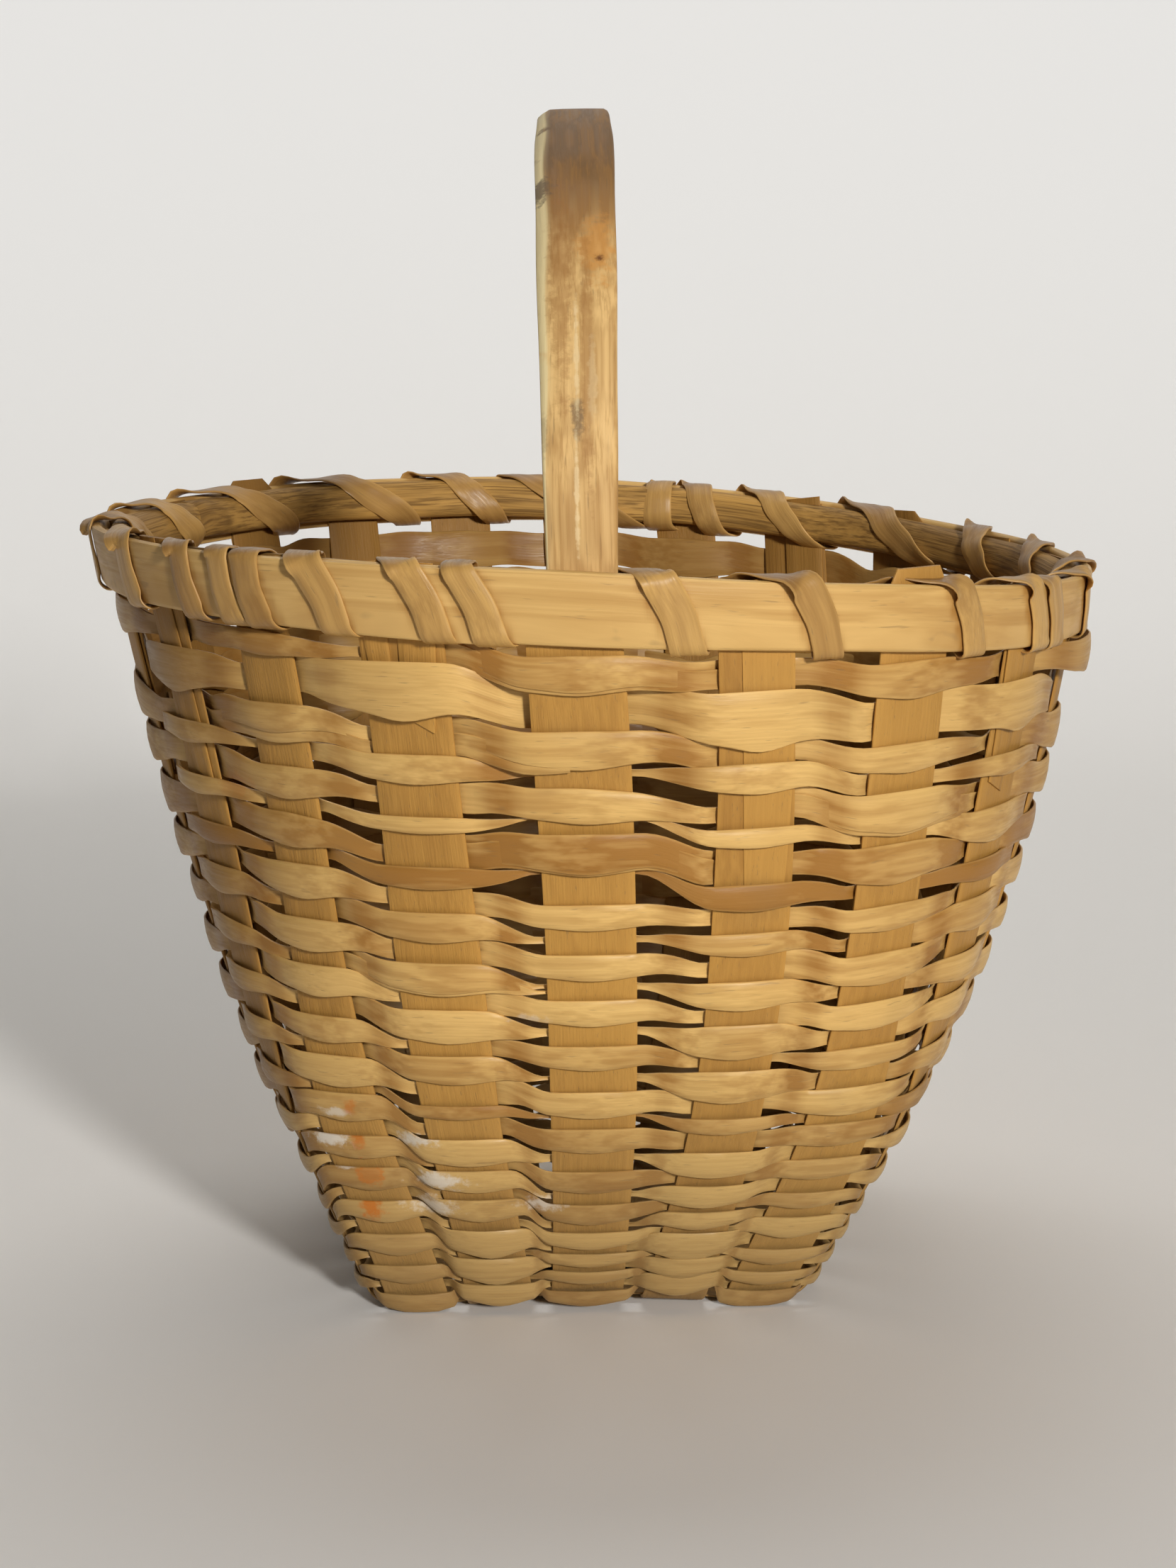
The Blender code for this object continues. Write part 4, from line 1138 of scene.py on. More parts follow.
def lashing_corners(azimuth, proud):
    """Offset and drop of the nine corners round both hoops, down the outside and up the inside."""
    rim, flush = BASKET.rim, 0 * azimuth
    outer = rim.outer_offset + rim.outer_thickness + OFF_FACE
    outer = outer + np.maximum(scarf_bulge(azimuth), scarf_bulge(azimuth - PAST_SCARF))
    flat = -rim.inner_offset - tail_bulge(azimuth)
    inner = flat - rim.inner_thickness - OFF_INNER
    below = outer_height(azimuth) + OFF_EDGE
    top, low = flush - 0.5 * MM, flush + rim.inner_height
    return np.array([
        [outer, outer, outer, flush + 0.8 * MM, flat - 2.5 * MM, inner, inner, flat - 2.2 * MM,
         outer],
        [top, below / 2, below, below + 0.5 * MM, low + 1.8 * MM, low - 1.5 * MM,
         flush + 3.2 * MM, -proud - 0.3 * MM, top],
    ])


def lashing_path(turns, steps):
    """Offset, drop and azimuth along the spiral, each rounded by a running mean.

    The spiral is a polygon round both hoops. Its ends meet low on the inside, just right of the
    handle.
    """
    azimuths = lashing_azimuths()
    shares = np.append((np.arange(turns)[:, None] + LASHING_CORNERS[:-1]).ravel(), turns)
    proud = np.random.default_rng(BASKET.rim.seed + 40).uniform(0.1, 0.7, turns + 1) * MM
    position = np.linspace(SPIRAL_START, turns + SPIRAL_END, steps)
    window = np.linspace(-ROUNDING, ROUNDING, 11)
    total = 0
    for delta in window:
        again, at = np.divmod(position + delta, turns)
        azimuth = np.interp(at, shares, azimuths) + TURN * again
        turn = np.minimum(at.astype(int), turns - 1)
        corners = lashing_corners(azimuth, proud[turn])
        index = np.searchsorted(LASHING_CORNERS, at - turn, side="right") - 1
        index = np.clip(index, 0, len(LASHING_CORNERS) - 2)
        one, two = LASHING_CORNERS[index], LASHING_CORNERS[index + 1]
        pick = np.arange(steps)
        part = (at - turn - one) / (two - one)
        place = mix(corners[:, index, pick], corners[:, index + 1, pick], part)
        total = total + np.stack([*place, azimuth])
    return total / len(window)


class BASKET_OT_lashing(bpy.types.Operator):
    """Thin splint that spirals round both hoops, doubled in places"""

    bl_idname = "basket.lashing"
    bl_label = "Rim lashing"

    def execute(self, context):
        rim, turns = BASKET.rim, len(LASHING_TURNS)
        steps = turns * TURN_STEPS
        offset, drop, azimuth = lashing_path(turns, steps)
        centre = rim_point(azimuth, offset, drop)
        heading = headings(centre)
        normal = outward(azimuth) * np.gradient(drop)[:, None]
        normal = square_to(heading, normal + stacked(0.0, 0.0, np.gradient(offset)))
        facing = unit(np.cross(normal, heading))
        rng = np.random.default_rng(rim.seed + 3)
        s = np.arange(steps) / TURN_STEPS
        half = rim.lashing_width / 2 * (1 + wobble(s, rng, [(0.09, 3.7), (0.06, 1.3)]))
        tone = wobble(s, rng, [(0.4, 7.1), (0.35, 2.3), (0.15, 0.9)])
        top = np.exp(-(((s + SPIRAL_START) % 1 - 0.93) / 0.09) ** 2)
        strip = ribbon(
            centre, facing, normal, half, half, rim.lashing_thickness,
            cup=0.25 * MM, tone=tone, tuck=0.8 * top,
        )
        make_piece("rim_binding", [strip], lashing_wood(), "lashing", "rim_lashing")
        return {"FINISHED"}


# Handle

BOW_STEPS, TAIL_STEPS = 150, 22
WORN_ROUND, CROWN = 0.35 * MM, 0.12 * MM
# Chamfers: the broad one on a tail and on the bow, and the other three.
TAIL_CHAMFER, BOW_CHAMFER, CHAMFER = 0.7 * MM, 2.9 * MM, 1.2 * MM
# How much narrower the very top is, and from what height, over what height, hands darkened it.
TOP_LOSS, WORN_FROM, WORN_OVER = 1.0 * MM, 74 * MM, 28 * MM
# Paleness at the bar's corners, painted highlight, wear and the freshly shaved chamfer, in the order
# of its section: the broad chamfer and its rims.
BAR_EDGES = np.array([0.45, 1, 1, 0.45] + 12 * [0.0])


def bar(centre, across, through_it, width, thick, near, far):
    """Flat bar: a rectangle with one chamfer wider than the other, its corners worn round."""
    a, b, worn = width / 2, thick / 2, WORN_ROUND
    places = (
        (-a + near, b), (-a + near * 0.5, b - 0.28 * near), (-a + 0.2 * MM, b - 0.62 * near),
        (-a, b - 0.62 * near - worn), (-a, -b + far + worn), (-a + worn, -b + 0.4 * far),
        (-a + far, -b), (0 * a, -b), (a - far, -b), (a - worn, -b + 0.4 * far),
        (a, -b + far), (a, b - far), (a - worn, b - 0.4 * far), (a - far, b),
        (0.4 * a, b + CROWN), (-0.3 * a, b + CROWN),
    )
    x, y = [stacked(*column) for column in zip(*places)]
    return centre[:, None] + across[:, None] * x[..., None] + through_it[:, None] * y[..., None], x


def tail_line(number, drop, thick):
    """Middle of a tail, from its end up to the rim: off its upright's face by half its thickness."""
    h = BASKET.handle
    centre, _, normal, _ = upright_frame(number, 1 - drop / BASKET.body.height)
    centre = centre - normal * (BASKET.splints.thickness / 2 + h.gap + thick / 2)[:, None]
    centre[:, 0] += h.sidestep * (1 - drop / h.tail_length)
    return centre


def bow_line(foot, far):
    """Middle of the bow from one tail to the other, a half superellipse, and its rise."""
    turned = np.linspace(0, math.pi, BOW_STEPS)[1:-1]
    power = 2 / BASKET.handle.roundness
    run = np.sign(np.cos(turned)) * np.abs(np.cos(turned)) ** power
    rise = BASKET.handle.rise * np.abs(np.sin(turned)) ** power
    bow = foot + (far - foot) * ((1 - run) / 2)[:, None]
    bow[:, 2] += rise
    return bow, rise


class BASKET_OT_handle(bpy.types.Operator):
    """Shaved bow handle whose tails go down between the hoops"""

    bl_idname = "basket.handle"
    bl_label = "Handle"

    def execute(self, context):
        h, rng = BASKET.handle, np.random.default_rng(77)
        drop = np.linspace(h.tail_length, 0.5 * MM, TAIL_STEPS)
        q = drop / h.tail_length
        tail_width = mix(h.tail_width, h.tip_width, q)
        tail_thick = mix(h.tail_thickness, h.tip_thickness, q)
        front, back = [tail_line(number, drop, tail_thick) for number in (0, uprights() // 2)]
        bow, rise = bow_line(front[-1], back[-1])
        grip = smooth(rise / h.grip_from)
        centre = np.concatenate([front, bow, back[::-1]])
        width, thick, over = [
            np.concatenate([tail, on_bow, tail[::-1]]) for tail, on_bow in (
                (tail_width, mix(h.tail_width, h.width, grip)),
                (tail_thick, mix(h.tail_thickness, h.thickness, grip)),
                (0 * q, smooth(grip)),
            )
        ]
        along = run_along(centre)
        height = centre[:, 2] - front[-1, 2]
        width = width - TOP_LOSS * smooth((height - h.rise * 0.93) / (h.rise * 0.07))
        width = width + wobble(along, rng, [(0.3 * MM, 0.14), (0.16 * MM, 0.05)])
        heading = headings(centre)
        across = square_to(heading, np.array([1.0, 0.0, 0.0]))
        out = unit(np.cross(heading, across))
        out = out * np.sign(out[len(out) // 2, 2])
        near = mix(TAIL_CHAMFER, BOW_CHAMFER, over) + wobble(along, rng, [(0.45 * MM, 0.05)]) * over
        corners, x = bar(centre, across, out, width, thick, near, CHAMFER)
        tone = wobble(along, rng, [(0.3, 0.21), (0.2, 0.08)])
        strip = strip_of(
            corners, along=along[:, None], across=x, edge=BAR_EDGES, tone=tone[:, None],
            tuck=smooth((height[:, None] - WORN_FROM) / WORN_OVER),
        )
        make_piece("handle_bow", [strip], handle_wood(), "handle", "bow_handle")
        return {"FINISHED"}


# Materials


class Tree:
    """Adds nodes to a node tree. A value may be a socket, which is linked, or a plain value."""

    def __init__(self, tree):
        self.tree = tree

    def add(self, kind, inputs=(), **settings):
        node = self.tree.nodes.new(kind)
        for key, value in settings.items():
            setattr(node, key, value)
        for key, value in dict(inputs).items():
            self.feed(node.inputs[key], value)
        return node

    def feed(self, socket, value):
        if isinstance(value, bpy.types.NodeSocket):
            self.tree.links.new(value, socket)
        else:
            socket.default_value = (*value, 1) if socket.type == "RGBA" else value

    def math(self, operation, *values, clamp=False):
        node = self.add("ShaderNodeMath", enumerate(values), operation=operation, use_clamp=clamp)
        return node.outputs[0]

    def times(self, one, two):
        return self.math("MULTIPLY", one, two)

    def vector(self, operation, *values):
        return self.add("ShaderNodeVectorMath", enumerate(values), operation=operation).outputs

    def place(self):
        return self.add("ShaderNodeTexCoord").outputs["Object"]

    def split(self, vector):
        return self.add("ShaderNodeSeparateXYZ", {0: vector}).outputs

    def ramp(self, value, low, high, start=0.0, end=1.0):
        node = self.add(
            "ShaderNodeMapRange",
            {"Value": value, "From Min": low, "From Max": high, "To Min": start, "To Max": end},
            interpolation_type="SMOOTHSTEP",
        )
        return node.outputs["Result"]

    def blend(self, weight, one, two, how="MIX"):
        node = self.add("ShaderNodeMix", data_type="RGBA", blend_type=how, clamp_factor=True)
        for key, value in (("Factor", weight), ("A", one), ("B", two)):
            self.feed(node.inputs[key], value)
        return next(o for o in node.outputs if o.type == "RGBA")

    def tint(self, paint, weight, strength, other):
        return self.blend(self.times(weight, strength), paint, other)

    def noise(self, vector, scale, detail, roughness=0.55):
        inputs = {"Vector": vector, "Scale": scale, "Detail": detail, "Roughness": roughness}
        return self.add("ShaderNodeTexNoise", inputs).outputs["Fac"]

    def group(self, build, inputs=()):
        """Node of the group that a function builds, which is made once and named after it."""
        made = bpy.data.node_groups.get(build.__name__) or node_group(build)
        return self.add("ShaderNodeGroup", inputs, node_tree=made).outputs


def node_group(build):
    """Shader node group: its inputs are the function's defaults, its outputs what it returns."""
    group = bpy.data.node_groups.new(build.__name__, "ShaderNodeTree")
    for key, default in build.__kwdefaults__.items():
        kind = "NodeSocketVector" if isinstance(default, tuple) else "NodeSocketFloat"
        group.interface.new_socket(name=key, in_out="INPUT", socket_type=kind).default_value = default
    tree = Tree(group)
    given = tree.add("NodeGroupInput").outputs
    made = build(tree, **{key: given[key] for key in build.__kwdefaults__})
    for key in made:
        group.interface.new_socket(name=key, in_out="OUTPUT", socket_type="NodeSocketFloat")
    tree.add("NodeGroupOutput", made)
    return group


def splint_grain(tree, *, along=40.0, across=1500.0, seed=0.0):
    """Split wood: fine fibres, broad bands and short dark flecks, drawn out along the strip."""
    uv = tree.add("ShaderNodeUVMap", uv_map="strip").outputs["UV"]
    x, y, _ = tree.split(uv)
    bent = tree.times(tree.noise(uv, 18.0, 1.0), 0.0016)
    x, y = tree.times(x, along), tree.times(tree.math("ADD", y, bent), across)
    depth = tree.math("MULTIPLY_ADD", seed, 7.3, 0.5)
    made = {}
    for output, drawn, narrowed, detail, roughness, low, high in (
        ("fibre", 0.55, 1.3, 4.0, 0.6, 0.3, 0.7),
        ("bands", 0.2, 0.36, 2.0, 0.5, 0.32, 0.68),
        ("flecks", 5.0, 1.5, 1.0, 0.4, 0.66, 0.80),
    ):
        inputs = tree.times(x, drawn), tree.times(y, narrowed), depth
        stretched = tree.add("ShaderNodeCombineXYZ", enumerate(inputs)).outputs[0]
        made[output] = tree.ramp(tree.noise(stretched, 1.0, detail, roughness), low, high)
    return made


def wear_and_grime(tree, *, scale=1.0):
    """Blotches of grime and rubbed patches, in object space."""
    place = tree.place()
    return {
        output: tree.ramp(tree.noise(place, tree.times(scale, size), detail, 0.6), low, high)
        for output, size, detail, low, high in (
            ("grime", 42.0, 1.5, 0.56, 0.80), ("rubbed", 16.0, 1.0, 0.45, 0.70),
        )
    }


def soft_mark(tree, *, centre=(0.0, 0.0, 0.0), stretch=(1.0, 1.0, 1.0), radius=0.005):
    """Mark about a point, round or drawn out: its soft disc and its ring, broken by noise."""
    place = tree.place()
    drawn = tree.vector("MULTIPLY", tree.vector("SUBTRACT", place, centre)[0], stretch)[0]
    away = tree.vector("LENGTH", drawn)["Value"]
    rough = tree.math("SUBTRACT", tree.noise(place, 300.0, 4.0, 0.7), 0.5)
    rough = tree.times(tree.times(rough, 2.6), radius)
    ratio = tree.math("DIVIDE", tree.math("ADD", away, rough), radius)
    disc = tree.ramp(ratio, 1.2, 0.4)
    return {"disc": disc, "ring": tree.times(disc, tree.ramp(ratio, 0.4, 0.8, 0.4, 1.0))}


# Colours of the marks, and how they are drawn out: more than 1 makes them shorter that way.
SCUFF, RUST = (0.72, 0.68, 0.60), (0.50, 0.140, 0.012)
PATCH, KNOT, SMUDGE = (0.66, 0.30, 0.065), (0.13, 0.040, 0.012), (0.16, 0.105, 0.060)
STREAK, CORE = (0.88, 0.70, 0.40), (0.34, 0.150, 0.040)
FLAT, ROUND = (0.55, 0.55, 1.5), (1.0, 1.0, 1.0)
# Marks as picture column and row, radius in millimetres, strength, stretch, output and colour.
WALL_MARKS = (
    (474, 1603, 3.6, 0.75, FLAT, "disc", SCUFF), (585, 1609, 3.4, 0.7, FLAT, "disc", SCUFF),
    (618, 1666, 4.2, 0.7, FLAT, "disc", SCUFF), (476, 1566, 2.6, 0.55, FLAT, "disc", SCUFF),
    (766, 1699, 4.0, 0.55, FLAT, "disc", SCUFF), (606, 1702, 4.6, 0.55, FLAT, "disc", SCUFF),
    (489, 1640, 2.2, 0.5, FLAT, "disc", SCUFF), (745, 1440, 2.6, 0.35, FLAT, "disc", SCUFF),
    (523, 1653, 4.2, 0.95, ROUND, "ring", RUST), (527, 1700, 4.0, 0.85, ROUND, "disc", RUST),
    (493, 1561, 2.4, 0.6, ROUND, "disc", RUST), (504, 1605, 2.6, 0.75, ROUND, "disc", RUST),
    (392, 1196, 1.8, 0.5, ROUND, "disc", RUST), (330, 1105, 5.0, 0.2, FLAT, "disc", RUST),
)
HANDLE_MARKS = (
    (842, 350, 4.6, 0.6, (1.0, 0.4, 0.4), "disc", PATCH),
    (790, 400, 3.2, 0.45, (1.0, 0.09, 0.09), "disc", CORE),
    (828, 500, 1.6, 0.4, (1.0, 0.04, 0.04), "disc", CORE),
    (846, 367, 1.4, 0.9, (0.8, 1.0, 1.0), "disc", KNOT),
    (815, 590, 1.7, 0.7, (1.0, 0.3, 0.3), "disc", SMUDGE),
    (813, 500, 0.7, 0.5, (1.0, 0.04, 0.04), "disc", STREAK),
    (814, 690, 0.65, 0.55, (1.0, 0.045, 0.045), "disc", STREAK),
    (836, 540, 1.2, 0.28, (1.0, 0.10, 0.10), "disc", STREAK),
    (762, 274, 2.4, 0.85, (0.7, 0.45, 0.45), "disc", SMUDGE),
    (766, 610, 1.2, 0.3, (1.0, 0.22, 0.22), "disc", SMUDGE),
)
# Where the painted shade starts on the left and on the right and where it is darkest, and how high
# the darker, dusty colour near the ground reaches, which is partly painted shade.
SHADE_LEFT, SHADE_RIGHT, DUST_AND_SHADE_HEIGHT = (-0.03, -0.13), (0.04, 0.14), 0.11
# The weavers' outer face over the wall's middle.
WEAVER_FACE = 1.8 * MM


def on_wall(column, row):
    """Point of the weavers' outer face in front that a picture column and row show."""
    points = camera_ray(column, row, 0.6, 0.9)
    t = np.clip(points[:, 2] / BASKET.body.height, 0, 1)
    middle = wall_middle(t)[:, 0]
    wall, _ = wall_point(np.arctan2(points[:, 0] - middle, -points[:, 1]), t)
    reached, size = [np.hypot(each[:, 0] - middle, each[:, 1]) for each in (points, wall)]
    return points[np.argmax(reached < size + WEAVER_FACE)]


def on_handle(column, row):
    """Point of the bow's front half that a picture column and row show.

    Along the line of sight, the first point inside the superellipse of the bow.
    """
    h = BASKET.handle
    points = camera_ray(column, row, 0.6, 0.95)
    foot, _ = wall_point(rim_azimuth(0), 1.0)
    risen = np.clip((points[:, 2] - rim_height(rim_azimuth(0))) / h.rise, 0, 2)
    inside = np.abs(points[:, 1] / foot[1]) ** h.roundness + risen**h.roundness < 1
    return points[np.argmax(inside)]


def weathered(tree, paint, dark, rubbed, browns, aged):
    """Painted shade: darker and browner on the left, a little on the right and, by the inside shade,
    on faces that look in.

    Darker near the ground: a dusty colour that is partly painted shade.
    """
    place = tree.add("ShaderNodeTexCoord").outputs
    x, _, z = tree.split(place["Object"])
    # Painted shade on faces that look in.
    if aged:
        away = tree.vector("NORMALIZE", tree.vector("MULTIPLY", place["Object"], (1, 1, 0))[0])[0]
        facing = tree.vector("DOT_PRODUCT", away, place["Normal"])["Value"]
        paint = tree.blend(tree.ramp(facing, 0.1, -0.4, 0.0, aged), paint, [0.45 * c for c in dark])
    # Painted shade, darker and browner towards the left and a little towards the right.
    left = tree.ramp(x, *SHADE_LEFT, 0.0, browns)
    right = tree.ramp(x, *SHADE_RIGHT, 0.0, 0.45 * browns)
    side_shading = tree.times(tree.math("ADD", left, right), tree.ramp(rubbed, 0.0, 1.0, 1.0, 0.6))
    paint = tree.blend(side_shading, paint, [0.56 * c for c in dark])
    # Darker near the ground: a dusty colour, partly painted shade.
    return tree.blend(tree.ramp(z, DUST_AND_SHADE_HEIGHT, 0.0, 0.0, 0.6), paint, BASKET.woods.dust)


def wood(
    kind, along, across, bump, rough, marks=(), find=on_wall, extra=None,
    # The last two set painted shade: on faces that look in, and towards the sides.
    spread=0.55, streaks=0.34, shine=0.25, aged=0.0, browns=0.8,
):
    """Split or shaved wood.

    Colour runs from pale to dark with the bands, the strip's own tone and the tuck attribute, then
    takes fibres, flecks, grime, a painted highlight and wear along the edges, painted shade towards
    the sides and on faces that look in, a darker and dusty colour near the ground, a wood's own extra
    and marks. Roughness and bump come from the same grain.
    """
    woods = BASKET.woods
    pale, dark = getattr(woods, kind), getattr(woods, kind + "_dark")
    made = bpy.data.materials.new(kind + "_wood")
    made.use_nodes = True
    tree, shader = Tree(made.node_tree), made.node_tree.nodes["Principled BSDF"]
    edge, tone, tuck = [
        tree.add("ShaderNodeAttribute", attribute_name=key).outputs["Fac"]
        for key in ("edge", "tone", "tuck")
    ]
    fibre, bands, flecks = tree.group(splint_grain, {"along": along, "across": across, "seed": tone})
    grime, rubbed = tree.group(wear_and_grime)

    darker = tree.math("MULTIPLY_ADD", tone, spread, 0.16)
    darker = tree.math("ADD", tree.times(bands, streaks), darker)
    # The tuck attribute darkens: painted shade with some dirt where weavers go behind uprights and on
    # the outer hoop beside the lashing; elsewhere the lashing's turns over the top, the splints'
    # lowest part and the handle's top.
    paint = tree.blend(tree.math("ADD", darker, tree.times(tuck, 0.55), clamp=True), pale, dark)
    paint = tree.tint(paint, fibre, 0.42, tree.blend(0.5, paint, dark))
    paint = tree.tint(paint, flecks, 0.36, woods.grime)
    paint = tree.tint(paint, grime, 0.14, woods.grime)
    paint = tree.tint(paint, rubbed, 0.08, tree.blend(1.0, paint, pale, "SCREEN"))
    # Painted highlight along the edges, together with edge wear.
    paint = tree.tint(paint, tree.ramp(edge, 0.80, 1.0), 0.22, [min(1.0, c * 1.25) for c in pale])
    paint = weathered(tree, paint, dark, rubbed, browns, aged)
    if extra:
        paint = extra(tree, paint, fibre, bands, edge, tuck)
    for column, row, radius, strength, stretch, output, tint in marks:
        inputs = {"centre": find(column, row), "stretch": stretch, "radius": radius * MM}
        paint = tree.tint(paint, tree.group(soft_mark, inputs)[output], strength, tint)
    gloss = tree.math("MULTIPLY_ADD", fibre, 0.14, rough)
    relief = tree.math("ADD", tree.times(fibre, 0.6), tree.times(bands, 0.5))
    relief = tree.math("SUBTRACT", relief, tree.times(flecks, 0.5))
    bumped = {"Height": relief, "Strength": bump, "Distance": 0.12 * MM}
    for key, value in (
        ("Base Color", paint), ("Roughness", tree.math("ADD", gloss, tree.times(grime, 0.15))),
        ("Specular IOR Level", shine), ("Normal", tree.add("ShaderNodeBump", bumped).outputs[0]),
    ):
        tree.feed(shader.inputs[key], value)
    return made


def weaver_wood():
    # With painted shade on faces that look in.
    return wood("weaver", 34.0, 1100.0, 0.5, 0.34, WALL_MARKS, streaks=0.42, aged=0.5)


def splint_wood():
    """Uprights: duller, with short upright flecks."""
    # With painted shade on faces that look in.
    return wood("splint", 90.0, 1500.0, 0.8, 0.5, aged=0.5)


def hoop_wood():
    return wood("hoop", 26.0, 900.0, 0.5, 0.38, spread=0.3, browns=0.45)


def inner_wood():
    """Weathered: open dark grain lines along the hoop."""

    def open_grain(tree, paint, fibre, bands, edge, tuck):
        return tree.blend(tree.ramp(fibre, 0.4, 1.0, 0.0, 0.6), paint, BASKET.woods.inner_dark)

    return wood("inner", 22.0, 1100.0, 1.0, 0.6, extra=open_grain, spread=0.3, browns=0.2)


def lashing_wood():
    """Greyish where it loops over the rim's top edge."""

    def greyed(tree, paint, fibre, bands, edge, tuck):
        return tree.tint(paint, tuck, 0.2, BASKET.woods.grime)

    return wood("lashing", 45.0, 1300.0, 0.5, 0.34, extra=greyed, shine=0.35, browns=0.2)


def handle_wood():
    """Browner near the top, with a pale broken chamfer, streaks, a knot and dark smudges."""
    woods = BASKET.woods

    def handled(tree, paint, fibre, bands, edge, tuck):
        worn = tree.times(tuck, tree.ramp(bands, 0.0, 0.8, 1.0, 0.72))
        paint = tree.tint(paint, worn, 0.9, woods.handle_worn)
        paint = tree.blend(tree.ramp(fibre, 0.5, 0.95, 0.0, 0.35), paint, woods.handle_dark)
        broken = tree.ramp(tree.noise(tree.place(), 90.0, 3.0, 0.6), 0.26, 0.42)
        return tree.tint(paint, tree.ramp(edge, 0.3, 0.8, 0.0, 0.95), broken, woods.handle_pale)

    return wood(
        "handle", 22.0, 800.0, 0.5, 0.5, HANDLE_MARKS, on_handle, handled, streaks=0.6, shine=0.2
    )


# Stage

# What the lamps look at: the basket's middle, and for one of them the backdrop.
BASKET_AIM, BACKDROP_AIM = (0, 0, 0.14), (0, 2.2, 0.4)
# Floor: run in front of its bend, the bend's radius, height of the wall behind, half width, and
# how far it starts in front of the basket.
FLAT_RUN, BEND_RADIUS, WALL_RUN, HALF_WIDTH, FLOOR_START, FLOOR_ROWS = 2.2, 1.1, 2.4, 4.0, 1.4, 60


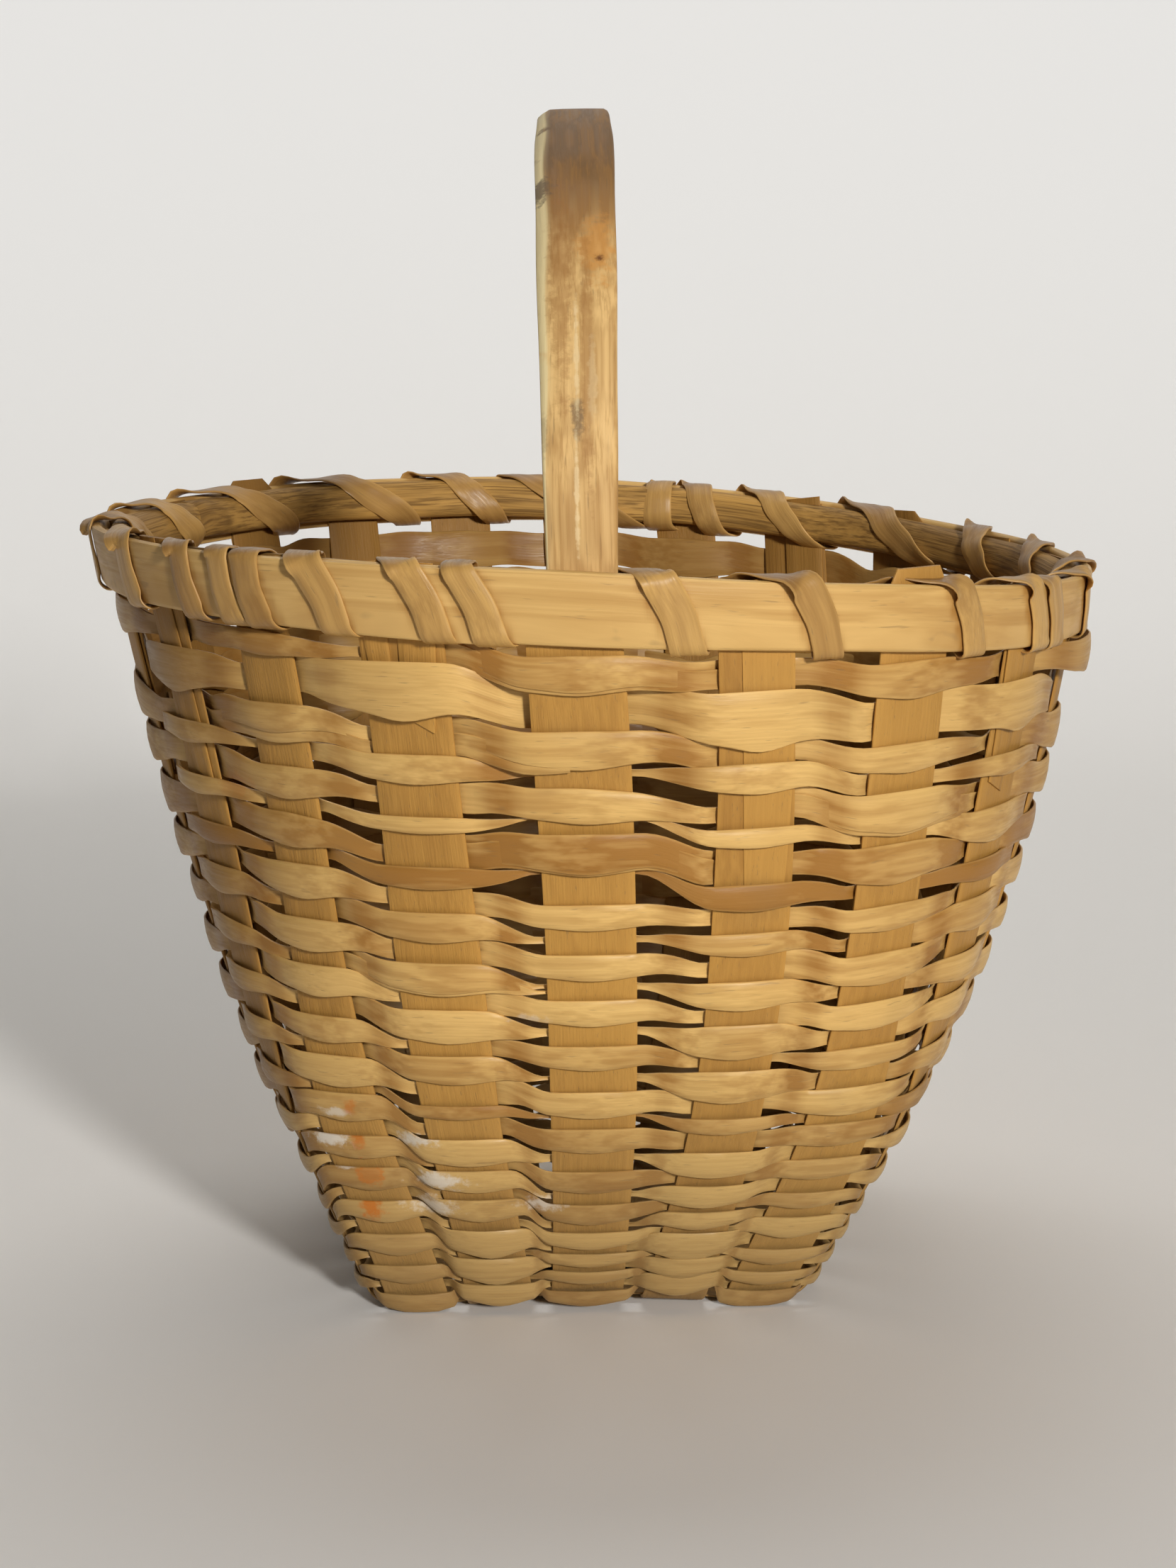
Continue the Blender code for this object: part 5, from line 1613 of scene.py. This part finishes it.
class BASKET_OT_stage(bpy.types.Operator):
    """Pale floor curved up into a backdrop, soft lamps, world and camera"""

    bl_idname = "basket.stage"
    bl_label = "Stage"

    def execute(self, context):
        scene, stage, woods = context.scene, BASKET.stage, BASKET.woods
        self.floor(woods.floor)
        scene.view_settings.view_transform = "Standard"
        place, right, up, forward = camera_axes()
        lens = bpy.data.cameras.new("camera")
        lens.lens = lens.sensor_width * stage.focal_pixels / stage.image_height
        lens.clip_start, lens.clip_end = 0.01, 20.0
        scene.camera = self.hold("camera", lens)
        turned = Matrix((right, up, -forward)).transposed().to_4x4()
        scene.camera.matrix_world = Matrix.Translation(place) @ turned
        for name, where, size, power, aim in (
            ("key_lamp", (1.45, -3.70, 1.35), 0.46, stage.key, BASKET_AIM),
            ("fill_lamp", (-1.05, -0.75, 0.65), 0.9, stage.fill, BASKET_AIM),
            ("back_lamp", (-1.3, 2.1, 1.6), 1.4, stage.rim, BASKET_AIM),
            ("backdrop_lamp", (0.0, 0.9, 2.3), 1.6, stage.backdrop, BACKDROP_AIM),
        ):
            lamp = bpy.data.lights.new(name, "AREA")
            lamp.shape, lamp.size, lamp.energy, lamp.color = "DISK", size, power, woods.light
            holder = self.hold(name, lamp)
            holder.location = where
            toward = Vector(aim) - Vector(where)
            holder.rotation_euler = toward.to_track_quat("-Z", "Y").to_euler()
        scene.world = bpy.data.worlds.new("studio")
        scene.world.use_nodes = True
        tree = Tree(scene.world.node_tree)
        sky = tree.tree.nodes["Background"].inputs
        tree.feed(sky["Color"], woods.sky)
        seen = tree.add("ShaderNodeLightPath").outputs["Is Camera Ray"]
        tree.feed(sky["Strength"], tree.ramp(seen, 0.0, 1.0, stage.sky, stage.sky_seen))
        return {"FINISHED"}

    def hold(self, name, data):
        """Object of a mesh, camera or lamp, in the scene."""
        made = bpy.data.objects.new(name, data)
        bpy.context.scene.collection.objects.link(made)
        return made

    def floor(self, tint):
        """Sheet that lies flat, then follows a quarter circle up behind the basket."""
        run = np.linspace(0, 1, FLOOR_ROWS) * (FLAT_RUN + BEND_RADIUS * QUARTER + WALL_RUN)
        turned = np.clip((run - FLAT_RUN) / BEND_RADIUS, 0, QUARTER)
        y = np.minimum(run, FLAT_RUN) - FLOOR_START + BEND_RADIUS * np.sin(turned)
        climbed = np.maximum(0, run - FLAT_RUN - BEND_RADIUS * QUARTER)
        z = BEND_RADIUS * (1 - np.cos(turned)) + climbed
        points = np.stack([stacked(x, y, z) for x in (-HALF_WIDTH, HALF_WIDTH)], 1).reshape(-1, 3)
        at = np.arange(FLOOR_ROWS - 1) * 2
        mesh = bpy.data.meshes.new("floor")
        faces = np.stack([at, at + 1, at + 3, at + 2], axis=-1)
        mesh.from_pydata(points.tolist(), [], faces.tolist())
        mesh.shade_smooth()
        paint = bpy.data.materials.new("floor_paint")
        paint.use_nodes = True
        tree = Tree(paint.node_tree)
        shader, out = [tree.tree.nodes[name] for name in ("Principled BSDF", "Material Output")]
        tree.feed(shader.inputs["Base Color"], tint)
        tree.feed(shader.inputs["Roughness"], 0.9)
        # The camera sees the far floor at an even brightness.
        far = tree.ramp(tree.vector("LENGTH", tree.place())["Value"], 0.7, 2.4)
        seen = tree.add("ShaderNodeLightPath").outputs["Is Camera Ray"]
        pale = tree.add("ShaderNodeEmission", {"Color": tint, "Strength": BASKET.stage.floor_seen})
        inputs = tree.times(seen, far), shader.outputs["BSDF"], pale.outputs["Emission"]
        mixed = tree.add("ShaderNodeMixShader", enumerate(inputs))
        tree.feed(out.inputs["Surface"], mixed.outputs["Shader"])
        mesh.materials.append(paint)
        self.hold("floor", mesh)


class BASKET_PT_panel(bpy.types.Panel):
    """Lists the operators and the sizes in the sidebar"""

    bl_label = "Splint Basket"
    bl_space_type = "VIEW_3D"
    bl_region_type = "UI"
    bl_category = "Basket"

    def draw(self, context):
        for operator in OPERATORS:
            self.layout.operator(operator.bl_idname)
        for key, group in GROUPS.items():
            box = self.layout.box()
            box.label(text=group.__name__)
            for name in group.__annotations__:
                box.prop(getattr(context.scene, key), name)


OPERATORS = (
    BASKET_OT_stage, BASKET_OT_splints, BASKET_OT_weavers, BASKET_OT_hoops,
    BASKET_OT_lashing, BASKET_OT_handle,
)


def register():
    for made in (*GROUPS.values(), *OPERATORS, BASKET_PT_panel):
        bpy.utils.register_class(made)
    for key, group in GROUPS.items():
        setattr(bpy.types.Scene, key, PointerProperty(type=group))


def unregister():
    for key in GROUPS:
        delattr(bpy.types.Scene, key)
    for made in reversed((*GROUPS.values(), *OPERATORS, BASKET_PT_panel)):
        bpy.utils.unregister_class(made)


def main():
    register()
    bpy.ops.basket.stage()
    bpy.ops.basket.splints()
    bpy.ops.basket.weavers()
    bpy.ops.basket.hoops()
    bpy.ops.basket.lashing()
    bpy.ops.basket.handle()


if __name__ == "__main__":
    main()
